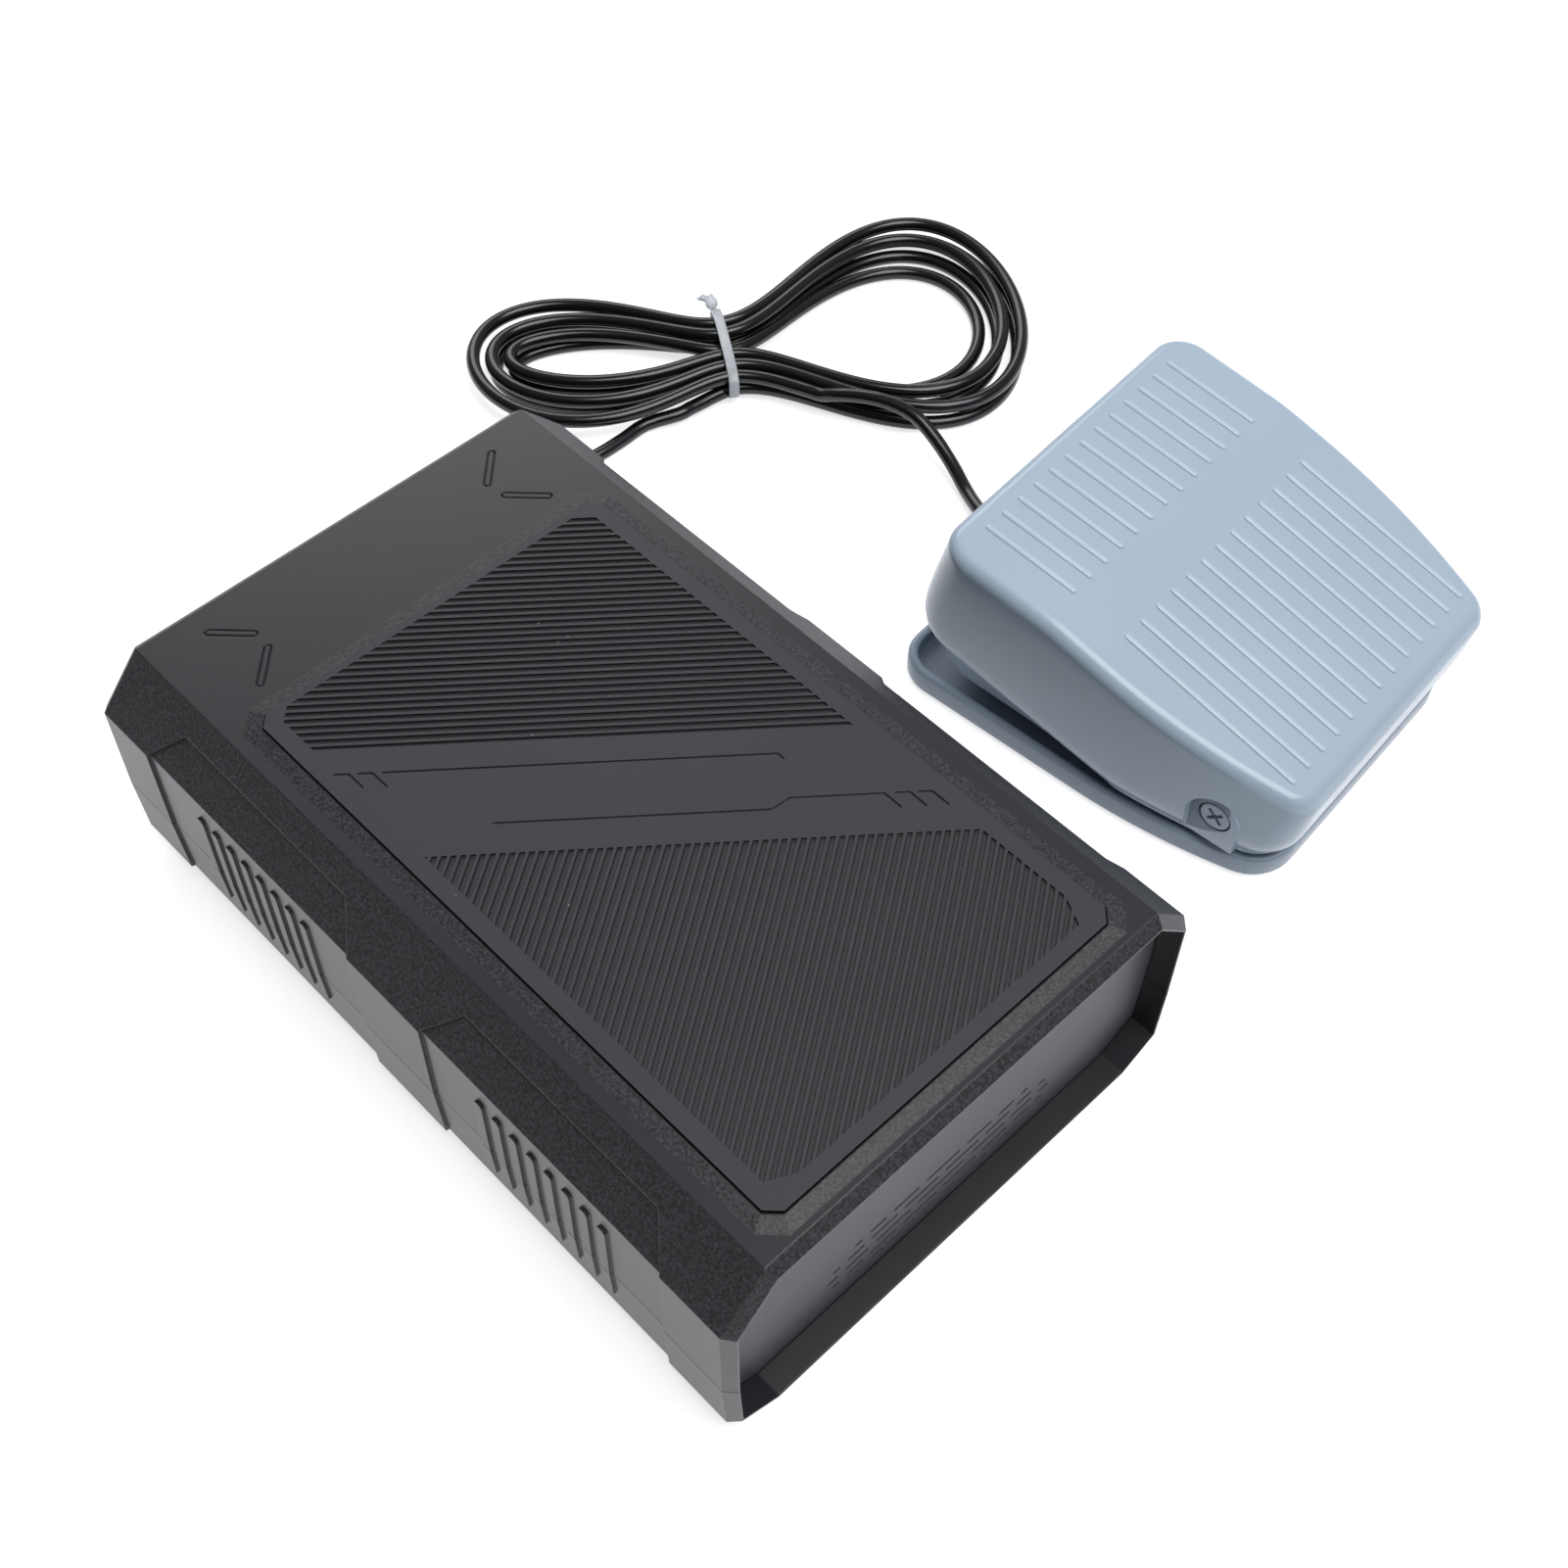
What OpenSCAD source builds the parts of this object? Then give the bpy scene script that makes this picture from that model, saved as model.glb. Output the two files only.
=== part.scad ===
// Wired foot switch: a hinged pedal on a lead from a vented control box.
// X runs along the box from its rear to its ported front, Y from the box
// towards the pedal, Z up. The origin is the middle of the floor area that
// the box and the pedal cover together.

/* [Control box] */
// Length of the flat top, rear edge to front edge
box_len = 190; // [160:1:240]
// Width of the flat top
box_wid = 104.6; // [100:0.1:130]
// Height of the box, feet included
box_high = 60.9; // [56:0.1:75]
// How far the long top chamfers reach out
chamfer_out = 10.9; // [7:0.1:14]
// How far the long top chamfers drop
chamfer_drop = 12.1; // [8:0.1:15]
// Inward lean of the side walls between chamfer and parting line
side_lean = 0; // [0:0.1:3]
// Reach of the lower bend beyond the flat top
lower_out = 10.2; // [7:0.1:10.5]
// Height of the lower bend
lower_high = 7; // [6:0.1:14]
// Inset of the bottom edge from the flat top's edge
base_in = 0.9; // [0:0.1:4]
// Height of the line where the two shells meet
parting_high = 24; // [20:0.5:30]
// Wall of both shells
shell_wall = 2.4; // [1.8:0.1:3]
// Length of the bevel round each open end
rim_bevel_len = 2.3; // [1:0.1:3]
// Inset of the bevel round each open end
rim_bevel_in = 2; // [1:0.1:2.2]
// How far the foot of each open end stands out beyond its top
end_rake = 0.8; // [0:0.1:1.5]
// Depth of the rear plate behind the rim
plate_recess = 4.3; // [3:0.1:8]
// Depth of the vented front plate behind the rim
vent_recess = 5.5; // [3:0.1:8]
// Thickness of the two end plates
plate_thick = 1.6; // [1:0.1:2.5]

/* [Side grips] */
// Depth of the grip panels
grip_depth = 0.7; // [0.6:0.1:1.5]
// Length of one grip panel
grip_len = 68.4; // [50:0.1:75]
// Plain length between a grip panel and the box end
grip_margin = 15.4; // [10:0.1:25]
// Raised ribs on one grip panel
grip_ribs = 8; // [4:1:11]
// Spacing of the grip ribs
grip_rib_pitch = 5.05; // [4:0.05:6]
// Width of one grip rib
grip_rib_wid = 2.4; // [1.5:0.1:3]
// How far the grip ribs stay below the outer wall
grip_rib_sink = 0.1; // [0.1:0.1:0.5]
// Height of the grip ribs' round tops
grip_rib_top = 42.5; // [36:0.1:46]
// Height of the grip ribs' lower ends
grip_rib_low = 14; // [12:0.1:20]

/* [Top mat] */
// Width of the mat
mat_wid = 91.2; // [80:0.1:92]
// Distance of the mat's rear edge from the flat top's rear edge
mat_rear = 33.4; // [30:0.1:34]
// Distance of the mat's front edge from the flat top's front edge
mat_front = 5; // [4.5:0.1:10]
// Thickness of the mat
mat_thick = 1.6; // [1.2:0.1:2]
// Cut across each corner of the mat
mat_corner = 2.8; // [1:0.1:5]
// Height of the plinth that frames the mat
plinth_high = 0.7; // [0.6:0.1:1.5]
// Width of the plinth's slope
plinth_slope = 3.2; // [2:0.1:3.5]
// How far the mat stands above its plinth
mat_proud = 0.5; // [0.2:0.1:0.6]
// Pitch of the mat's grooves
groove_pitch = 1.82; // [1.5:0.02:3]
// Width of one groove
groove_wid = 1.1; // [0.5:0.05:1.2]
// Depth of the grooves
groove_deep = 0.5; // [0.3:0.05:0.8]
// Turn of the smooth band across the mat
band_turn = 50; // [45:1:55]
// Turn of the front field's grooves
front_groove_turn = 124; // [115:1:135]

/* [End plate vents] */
// Rows of vent slots
vent_rows = 5; // [3:2:5]
// Spacing of the vent rows
vent_row_pitch = 3.6; // [3:0.1:4]
// Wall between two slots of a row
vent_wall = 2; // [1.5:0.1:3]
// Length of the middle slots, but for the middle row
vent_len = 9.7; // [6:0.1:10]
// Length of the middle row's middle slot
vent_mid_len = 13.4; // [10:0.1:14]
// How much each slot is shorter than the one before, as a share of the first
vent_fall = 0.26; // [0.2:0.01:0.3]
// Height of one slot
vent_high = 1; // [0.8:0.1:1.5]
// Height of the middle row
vent_mid_high = 14.7; // [13:0.1:24]

/* [Charging socket] */
// Width of the socket's shell
usb_wid = 8.94; // [8.9:0.01:9.2]
// Height of the socket's shell
usb_high = 3.2; // [3.1:0.01:3.4]
// Depth of the socket's shell
usb_deep = 7.3; // [6:0.1:9]
// Height of the socket's middle
usb_mid_high = 46; // [42:0.1:48]
// Side offset of the socket from the box's middle
usb_side = -24; // [-30:0.5:30]

/* [Power pack] */
// Diameter of one cell
cell_dia = 18.4; // [18:0.1:18.6]
// Length of one cell
cell_len = 65; // [60:0.5:66]
// Cells side by side
cell_cols = 3; // [2:1:3]
// Cells end to end
cell_rows = 2; // [1:1:2]

/* [Pedal] */
// Turn of the pedal against the box
pedal_turn = 5.25; // [0:0.25:10]
// Place of the pedal's datum along the box, from the box's middle
pedal_along = -8.8; // [-20:0.1:0]
// Place of the pedal's datum across, from the box's middle
pedal_across = 143.2; // [135:0.1:155]
// Rear edge of the base, from the datum
base_rear = -10; // [-12:0.1:-9]
// Front edge of the base, from the datum
base_front = 94.8; // [94:0.1:98]
// Half the width of the base
base_half = 46.5; // [46.2:0.1:48]
// Height of the base's top
base_high = 7; // [6:0.1:7]
// Width of the base's ledge round its well
base_ledge = 2.5; // [2:0.1:2.8]
// Thickness of the base's floor
base_floor = 2; // [1.6:0.1:2.4]
// Radius of the bow along both sides
bow_radius = 165; // [140:1:200]
// Distance from the datum at which the bow starts
bow_start = 45; // [40:1:50]
// Half the width of the cover at its rim
rim_half = 48; // [47.8:0.1:49]
// Radius of the cover's top edge
rim_radius = 3.5; // [3:0.1:6]
// Wall of the cover
cover_wall = 2.2; // [1.8:0.1:2.4]
// Height of the tread at the bend between its two slopes
tread_high = 51.4; // [48:0.1:54]
// Fall of the rear slope, as a share of its run
rear_fall = 0.14; // [0.1:0.01:0.18]
// Fall of the front slope, as a share of its run
front_fall = 0.277; // [0.25:0.001:0.3]
// Height of the cover's lower edge at the rear
skirt_rear_high = 10.8; // [10.6:0.1:12]
// Height of the cover's lower edge at the front
skirt_front_high = 8.6; // [8.5:0.1:9.5]

/* [Tread ridges] */
// Ridges side by side
ridges = 13; // [7:2:13]
// Distance of the outer ridges from the middle
ridge_half = 35.8; // [30:0.1:37]
// Width of one ridge
ridge_wid = 1.6; // [1.2:0.1:2.6]
// Height of one ridge
ridge_high = 0.45; // [0.3:0.05:0.8]

/* [Pedal hinge] */
// Place of the hinge, from the datum
hinge_along = 79.5; // [78:0.1:81]
// Height of the hinge
hinge_high = 19; // [18:0.1:20]
// Diameter of the hinge pins
pin_dia = 4.5; // [4:0.1:5]
// Diameter of the pins' heads
pin_head_dia = 7.6; // [7:0.1:8]
// Radial play of the cover on its pins
hinge_play = 0.05; // [0.03:0.01:0.09]
// Width of the bearing pads in the cover's sides
pad_wid = 12.4; // [11.5:0.1:14]

/* [Switch] */
// Length of the switch body
switch_len = 27.8; // [26:0.1:28]
// Height of the switch body
switch_high = 15.9; // [15:0.1:16]
// Width of the switch body
switch_wid = 10.3; // [9:0.1:10.5]
// Distance of the switch's front end from the datum
switch_front = 60; // [58:0.5:62]
// Diameter of the switch's fixing screws
switch_screw_dia = 3; // [2.5:0.1:3.1]

/* [Return spring] */
// Mean diameter of the spring
spring_dia = 11; // [9:0.5:13]
// Diameter of the spring's wire
spring_wire = 1.2; // [1:0.1:1.4]
// Turns of the spring
spring_turns = 7; // [5:1:9]

/* [Lead] */
// Diameter of the lead
cord_dia = 3.8; // [3:0.1:3.9]
// Loops in the hank
hank_loops = 5; // [3:1:6]
// Reach of the hank's lobe towards the pedal
hank_far = 84; // [70:1:90]
// Reach of the hank's lobe behind the box
hank_near = 66; // [50:1:75]
// Half the width of the far lobe
hank_far_half = 37; // [30:1:45]
// Half the width of the near lobe
hank_near_half = 21; // [16:1:26]
// Step between neighbouring loops at the waist
hank_waist_step = 4.4; // [4.3:0.1:5]
// Width of the tie round the hank
tie_wid = 2.8; // [2:0.1:4]

/* [Hidden] */
$fn = 48;

// Clearances that several pieces share
seat_gap = 0.3;
screw_play = 0.1;
slip = 0.2;

// Control box
half_top = box_wid / 2;
half_len = box_len / 2;
box_reach = half_top + chamfer_out;
end_x = half_len + rim_bevel_len;
foot_high = 1;
plate_x = end_x - plate_recess;
vent_x = end_x - vent_recess;
floor_top = foot_high + shell_wall;
roof_under = box_high - shell_wall;

function unit(v) = v / norm(v);
// Moves each edge of a clockwise outline inwards by d
function inset_outline(p, d) = [for (i = [0:len(p) - 1])
    let (a = unit(p[i] - p[(i + len(p) - 1) % len(p)]),
         b = unit(p[(i + 1) % len(p)] - p[i]),
         na = [a[1], -a[0]], nb = [b[1], -b[0]])
    p[i] + d * (na + nb) / (1 + na * nb)];
function mirrored(half) = concat(half, [for (i = [len(half) - 1:-1:0]) [-half[i][0], half[i][1]]]);

end_outline = mirrored([[half_top, box_high], [box_reach, box_high - chamfer_drop],
    [box_reach - side_lean, parting_high], [half_top + lower_out, lower_high],
    [half_top - base_in, foot_high]]);

// Joins rings of points, each listed down one side and back up the other,
// clockwise as seen from the last ring
module skin(rings) {
    n = len(rings[0]);
    last = len(rings) - 1;
    walls = [for (r = [0:last - 1]) for (i = [0:n - 1]) let (j = (i + 1) % n)
        each [[r * n + i, r * n + j, (r + 1) * n + j], [r * n + i, (r + 1) * n + j, (r + 1) * n + i]]];
    last_cap = [for (i = [0:n / 2 - 2]) each [[i, i + 1, n - 2 - i], [i, n - 2 - i, n - 1 - i]]];
    first_cap = [for (f = last_cap) [f[2], f[1], f[0]]];
    polyhedron([for (ring = rings) each ring],
        concat(walls, first_cap, [for (f = last_cap) [for (k = f) last * n + k]]));
}

module along_x(x0, x1) {
    translate([x0, 0, 0]) rotate([90, 0, 90]) linear_extrude(x1 - x0) children();
}

module outline_bar(inset, x0, x1) {
    along_x(x0, x1) polygon(inset_outline(end_outline, inset));
}

// Both ends are raked: x grows towards the foot
function raked(x, high) = x + sign(x) * end_rake * (1 - high / box_high);
foot_x = raked(end_x, foot_high + rim_bevel_in);
module box_solid() {
    rim = inset_outline(end_outline, rim_bevel_in);
    stations = [[-end_x, rim], [-half_len, end_outline], [half_len, end_outline], [end_x, rim]];
    skin([for (s = stations) [for (p = s[1]) [raked(s[0], p[1]), p[0], p[1]]]]);
}

// Everything of the box below or above the parting line
module below_parting() {
    translate([-foot_x - 1, -box_reach - 1, 0]) cube([2 * foot_x + 2, 2 * box_reach + 2, parting_high]);
}

module above_parting() {
    translate([-foot_x - 1, -box_reach - 1, parting_high + parting_gap])
        cube([2 * foot_x + 2, 2 * box_reach + 2, box_high]);
}
parting_gap = 0.15;

// Grip panels: shallow hexagonal recesses over the chamfer and the side
grip_cut = chamfer_drop * 0.6;
grip_mid = half_len - grip_margin - grip_len / 2;
module grip_windows() {
    ridge = box_high - chamfer_drop;
    for (x = [-grip_mid, grip_mid]) difference() {
        translate([x, box_reach + 1, 0]) rotate([90, 0, 0]) linear_extrude(2 * box_reach + 2)
            polygon([[-grip_len / 2, 0], [grip_len / 2, 0], [grip_len / 2, ridge],
                [grip_len / 2 - grip_cut, ridge + grip_cut], [grip_cut - grip_len / 2, ridge + grip_cut],
                [-grip_len / 2, ridge]]);
        for (i = [0:grip_ribs - 1])
            translate([x + (i - (grip_ribs - 1) / 2) * grip_rib_pitch, 0, 0]) grip_rib();
    }
}

module grip_rib() {
    top = grip_rib_top - grip_rib_wid / 2;
    translate([-grip_rib_wid / 2, -box_reach - 2, grip_rib_low])
        cube([grip_rib_wid, 2 * box_reach + 4, top - grip_rib_low]);
    translate([0, box_reach + 2, top]) rotate([90, 0, 0])
        cylinder(d = grip_rib_wid, h = 2 * box_reach + 4, $fn = 24);
}

// What the grips leave of a plain block: the outer wall is skimmed to the
// grip depth in the windows and to the rib depth over each rib
module grip_skim() {
    difference() {
        grip_windows();
        outline_bar(grip_depth, -end_x, end_x);
    }
    difference() {
        for (x = [-grip_mid, grip_mid]) translate([x - grip_len / 2 + grip_cut, -box_reach - 1, grip_rib_low])
            cube([grip_len - 2 * grip_cut, 2 * box_reach + 2, grip_rib_top - grip_rib_low]);
        outline_bar(grip_rib_sink, -end_x, end_x);
    }
}

// Screw pillars of the two shells
pillar_dia = 8;
pillar_x = half_len - 13;
pillar_y = half_top - 8;
pillar_clear = 3;
shell_screw_dia = 3;
shell_screw_head = 5.6;
shell_screw_sink = 2.4;
shell_screw_len = 30;
module at_pillars() {
    for (x = [-pillar_x, pillar_x]) for (y = [-pillar_y, pillar_y]) translate([x, y, 0]) children();
}

// Slots that hold the end plates; a plate's place is the middle of its thickness
function plate_mid(side) = side > 0 ? vent_x - plate_thick / 2 : plate_thick / 2 - plate_x;
module plate_slots(play) {
    for (s = [-1, 1]) along_x(plate_mid(s) - plate_thick / 2 - play, plate_mid(s) + plate_thick / 2 + play)
        polygon(inset_outline(end_outline, shell_wall - plate_lip - play));
}
plate_lip = 0.9;

module place_box() {
    translate([box_x, box_y, 0]) children();
}

module bottom_shell() {
    color("#232326") place_box() {
        difference() {
            intersection() {
                box_solid();
                below_parting();
            }
            outline_bar(shell_wall, -foot_x - 1, foot_x + 1);
            grip_skim();
            plate_slots(slip / 2);
            at_pillars() shell_screw_cut(foot_high);
            at_box_feet() cylinder(d = box_foot_dia + slip, h = foot_high + box_foot_seat);
        }
        at_pillars() difference() {
            translate([0, 0, floor_top]) cylinder(d = pillar_dia, h = parting_high - floor_top);
            shell_screw_cut(foot_high);
        }
    }
}

module shell_screw_cut(z) {
    translate([0, 0, z - 1]) cylinder(d = shell_screw_head + screw_play * 4, h = shell_screw_sink + 1);
    translate([0, 0, z]) cylinder(d = shell_screw_dia + 2 * screw_play, h = shell_screw_len);
}

plinth_front = half_len - 0.8;
mat_x = -half_len + mat_rear;
mat_len = box_len - mat_rear - mat_front;
mat_gap = 0.4;
// The plinth's foot, its top and the mat all share their middle line
function cut_rectangle(x0, x1, half_w, cut) = mirrored([[x0, half_w - cut], [x0 + cut, half_w],
    [x1 - cut, half_w], [x1, half_w - cut]]);
function swap(p) = [for (q = p) [q[1], q[0]]];
// Clockwise outline listed down one side and back up the other
function cut_ring(x0, x1, half_w, cut) = let (side = [[x0, half_w - cut], [x0 + cut, half_w],
    [x1 - cut, half_w], [x1, half_w - cut]]) concat(side, [for (i = [3:-1:0]) [side[i][0], -side[i][1]]]);

module plinth() {
    foot = cut_ring(mat_x - mat_gap - plinth_slope, min(mat_x + mat_len + mat_gap + plinth_slope, plinth_front),
        mat_wid / 2 + mat_gap + plinth_slope, mat_corner + plinth_slope / 2);
    top = cut_ring(mat_x - mat_gap, mat_x + mat_len + mat_gap, mat_wid / 2 + mat_gap, mat_corner);
    skin([[for (p = foot) [p[0], p[1], box_high - plinth_high]], [for (p = foot) [p[0], p[1], box_high]],
        [for (p = top) [p[0], p[1], box_high + plinth_high]]]);
}

mat_seat = box_high + plinth_high - mat_thick + mat_proud;
module mat_outline(grow) {
    polygon(cut_ring(mat_x - grow, mat_x + mat_len + grow, mat_wid / 2 + grow, mat_corner));
}

// Engraved pills in two vees on the rear margin
pill_len = 9.6;
pill_wid = 1.8;
pill_ring = 0.35;
pill_deep = 0.4;
pill_places = [[-85, -35.2, 45], [-73, -35.4, -45], [-85.3, 35, -45], [-73.1, 35.7, 45]];
module pill(wid, high) {
    translate([-pill_len / 2, -wid / 2, 0]) cube([pill_len, wid, high]);
    for (s = [-1, 1]) translate([s * pill_len / 2, 0, 0]) cylinder(d = wid, h = high, $fn = 24);
}

module top_shell() {
    color("#2b2b2f") place_box() {
        difference() {
            union() {
                intersection() {
                    box_solid();
                    above_parting();
                }
                plinth();
            }
            difference() {
                outline_bar(shell_wall, -foot_x - 1, foot_x + 1);
                top_pillars();
            }
            grip_skim();
            plate_slots(slip / 2);
            translate([0, 0, mat_seat]) linear_extrude(box_high) mat_outline(slip);
            at_pillars() translate([0, 0, foot_high]) cylinder(d = shell_screw_dia + 2 * screw_play,
                h = shell_screw_len + 1);
            for (p = pill_places) translate([p[0], p[1], box_high - pill_deep]) rotate([0, 0, p[2]])
                difference() {
                    pill(pill_wid, 2 * pill_deep);
                    pill(pill_wid - 2 * pill_ring, 3 * pill_deep);
                }
        }
    }
}

module top_pillars() {
    at_pillars() translate([0, 0, parting_high + parting_gap])
        cylinder(d = pillar_dia, h = box_high - parting_high - parting_gap);
    for (s = [-1, 1]) translate([usb_board_x, usb_side + s * usb_post_side, usb_board_top])
        cylinder(d = usb_post_dia, h = box_high - usb_board_top);
}

// The band that crosses the mat between its two grooved fields
band_rear = -12.2;
band_front = 23.6;
field_half = mat_wid / 2 - 3.9;
field_rear = mat_x + 1.5;
field_end = mat_x + mat_len - 3.4;
field_cut = 3;
line_wid = 0.45;
line_deep = 0.3;
mat_high = mat_seat + mat_thick;
band_slope = tan(band_turn);
// X of a line parallel to the band, where it crosses a given Y
function band_x(offset, y) = offset + y / band_slope;

module mat_field(rear) {
    outline = rear
        ? [[field_rear, field_half - field_cut], [field_rear + field_cut, field_half],
            [band_x(band_rear, field_half), field_half], [band_x(band_rear, -field_half), -field_half],
            [field_rear + field_cut, -field_half], [field_rear, field_cut - field_half]]
        : [[band_x(band_front, -field_half), -field_half], [band_x(band_front, field_half), field_half],
            [field_end - 2 * field_cut, field_half], [field_end, field_half - field_cut],
            [field_end, 2 * field_cut - field_half], [field_end - field_cut, -field_half]];
    polygon(outline);
}

module grooves(turn, lines) {
    for (i = [-lines:lines]) rotate([0, 0, turn])
        translate([-box_len, i * groove_pitch - groove_wid / 2, mat_high - groove_deep])
        cube([2 * box_len, groove_wid, 1]);
}

module engraved(a, b) {
    translate([a[0], a[1], mat_high - line_deep]) rotate([0, 0, atan2(b[1] - a[1], b[0] - a[0])])
        translate([0, -line_wid / 2, 0]) cube([norm(b - a), line_wid, 1]);
}

rear_line_at = -3.8;
front_line_at = 14.2;
front_step_at = 10.8;
function on_band(offset, y) = [band_x(offset, y), y];
rear_line = [on_band(rear_line_at, -35.1), on_band(rear_line_at, 25.5)];
front_line = [on_band(front_line_at, -27), on_band(front_line_at, 15),
    on_band(front_step_at, 19.6), on_band(front_step_at, 34)];
bent_run = 2.9;
bent_bar = 4.7;
// A short stroke along the band that turns and ends in a bar
module bent_mark(a) {
    b = a + bent_run * [cos(band_turn), sin(band_turn)];
    engraved(a, b);
    engraved(b, b + [bent_bar, 0]);
}
groove_lines = ceil(box_len * 0.6 / groove_pitch);

module top_mat() {
    color("#36363a") place_box() difference() {
        translate([0, 0, mat_seat]) linear_extrude(mat_thick) mat_outline(0);
        intersection() {
            translate([0, 0, mat_seat]) linear_extrude(mat_thick + 1) mat_field(true);
            translate([field_rear, 0, 0]) grooves(band_turn, groove_lines);
        }
        intersection() {
            translate([0, 0, mat_seat]) linear_extrude(mat_thick + 1) mat_field(false);
            translate([mat_len / 3, 0, 0]) grooves(front_groove_turn, groove_lines);
        }
        engraved(rear_line[0], rear_line[1]);
        for (i = [0:len(front_line) - 2]) engraved(front_line[i], front_line[i + 1]);
        engraved(rear_line[1], rear_line[1] + [bent_bar * 0.4, 0]);
        engraved(front_line[3], front_line[3] + [bent_bar, 0]);
        for (i = [0:1]) {
            bent_mark(on_band(rear_line_at, -42.4 + 3.6 * i));
            bent_mark(on_band(front_step_at, 35.7 + 3.4 * i));
        }
    }
}

// End plates: each fills the opening between the shells
module end_plate(side) {
    along_x(plate_mid(side) - plate_thick / 2, plate_mid(side) + plate_thick / 2)
        polygon(inset_outline(end_outline, shell_wall - plate_lip));
}

// Slots are counted outwards from the middle; odd rows have a wall in the middle
vent_steps = 3;
function vent_slot_len(row, i) = (row == 0 ? vent_mid_len : vent_len) * (1 - vent_fall * i);
function vent_slot_mid(row, i) = i > 0
    ? vent_slot_mid(row, i - 1) + (vent_slot_len(row, i - 1) + vent_slot_len(row, i)) / 2 + vent_wall
    : abs(row) % 2 * (vent_slot_len(row, 0) + vent_wall) / 2;
module vents() {
    half_rows = (vent_rows - 1) / 2;
    for (row = [-half_rows:half_rows]) for (i = [0:vent_steps]) for (side = [-1, 1])
        if (side > 0 || vent_slot_mid(row, i) > 0)
            translate([vent_x - 2 * plate_thick, side * vent_slot_mid(row, i), vent_mid_high + row * vent_row_pitch])
                vent_slot(vent_slot_len(row, i));
}

module vent_slot(slot) {
    straight = slot - vent_high;
    translate([0, -straight / 2, -vent_high / 2]) cube([3 * plate_thick, straight, vent_high]);
    for (s = [-1, 1]) translate([0, s * straight / 2, 0]) rotate([0, 90, 0])
        cylinder(d = vent_high, h = 3 * plate_thick, $fn = 16);
}

module rounded_slab(x0, x1, wid, high, radius) {
    along_x(x0, x1) {
        square([wid - 2 * radius, high], center = true);
        square([wid, high - 2 * radius], center = true);
        for (y = [-1, 1]) for (z = [-1, 1])
            translate([y * (wid / 2 - radius), z * (high / 2 - radius)]) circle(radius, $fn = 24);
    }
}

usb_radius = 1.2;
usb_skin = 0.3;
module vent_plate() {
    color("#2f2f34") place_box() difference() {
        end_plate(1);
        vents();
        translate([0, usb_side, usb_mid_high])
            rounded_slab(vent_x - 2 * plate_thick, vent_x + 1, usb_wid + slip, usb_high + slip, usb_radius + slip / 2);
    }
}

module usb_socket() {
    color("silver") place_box() translate([0, usb_side, usb_mid_high]) {
        difference() {
            rounded_slab(vent_x - usb_deep, vent_x, usb_wid, usb_high, usb_radius);
            rounded_slab(vent_x - usb_deep + 1, vent_x + 1, usb_wid - 2 * usb_skin, usb_high - 2 * usb_skin,
                usb_radius - usb_skin);
        }
        translate([vent_x - usb_deep + 1, -usb_wid / 2 + 1.4, -usb_skin])
            cube([usb_deep - 1.6, usb_wid - 2.8, 2 * usb_skin]);
    }
}

pcb_thick = 1.6;
usb_board_len = 16;
usb_board_wid = 24;
usb_board_x = vent_x - plate_thick - slip - usb_board_len / 2 - 2;
usb_board_top = usb_mid_high + usb_high / 2 + pcb_thick;
usb_post_side = 8.5;
usb_post_dia = 5;
module usb_board() {
    color("seagreen") place_box()
        translate([vent_x - plate_thick - slip - usb_board_len, usb_side - usb_board_wid / 2, usb_board_top - pcb_thick])
        cube([usb_board_len, usb_board_wid, pcb_thick]);
}

gland_across = half_top - 16.3;
gland_high = 20;
gland_len = 14;
gland_bore = cord_dia / 2;
module rear_plate() {
    color("#2f2f34") place_box() difference() {
        end_plate(-1);
        translate([-plate_x - 1, gland_across, gland_high]) rotate([0, 90, 0])
            cylinder(r = gland_neck + slip / 2, h = 3 * plate_thick);
    }
}

// A moulded strain relief: flange, neck through the wall, inner collar, tapered tail
gland_neck = 3.4;
gland_flange = 4.6;
gland_tip = 2.7;
gland_rib = 1.4;
module gland(wall, tail) {
    rotate([0, -90, 0]) difference() {
        rotate_extrude() polygon([[0, -wall - gland_rib], [gland_flange - 0.4, -wall - gland_rib],
            [gland_flange - 0.4, -wall], [gland_neck, -wall], [gland_neck, 0], [gland_flange, 0],
            [gland_flange, gland_rib], [gland_neck, gland_rib + 1], [gland_tip, tail], [0, tail]]);
        translate([0, 0, -wall - gland_rib - 1]) cylinder(r = gland_bore, h = wall + tail + gland_rib + 2);
    }
}

module box_gland() {
    color("#1b1b1d") place_box() translate([-plate_x, gland_across, gland_high])
        gland(plate_thick, gland_len);
}

// The control board stands on four posts beside the power pack
tray_wall = 1.6;
cell_pitch = cell_dia + 1;
tray_len = cell_rows * (cell_len + 1) + 2 * tray_wall + 1;
tray_wid = cell_cols * cell_pitch + 2 * tray_wall;
tray_x = -tray_len / 2;
tray_y = 2.3 - half_top;
board_len = 2 * (pillar_x - pillar_dia / 2 - pillar_clear);
board_x = -board_len / 2;
board_y = tray_y + tray_wid + 3.6;
board_wid = half_top - 1.3 - board_y;
board_high = 9;
post_dia = 5;
post_in = 5;
module at_posts() {
    for (x = [board_x + post_in, board_x + board_len - post_in])
        for (y = [board_y + post_in, board_y + board_wid - post_in]) translate([x, y, 0]) children();
}

module control_board() {
    color("seagreen") place_box() translate([board_x, board_y, board_high]) cube([board_len, board_wid, pcb_thick]);
}

module board_standoffs() {
    color("goldenrod") place_box() at_posts()
        translate([0, 0, floor_top]) cylinder(d = post_dia, h = board_high - floor_top);
}

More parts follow.
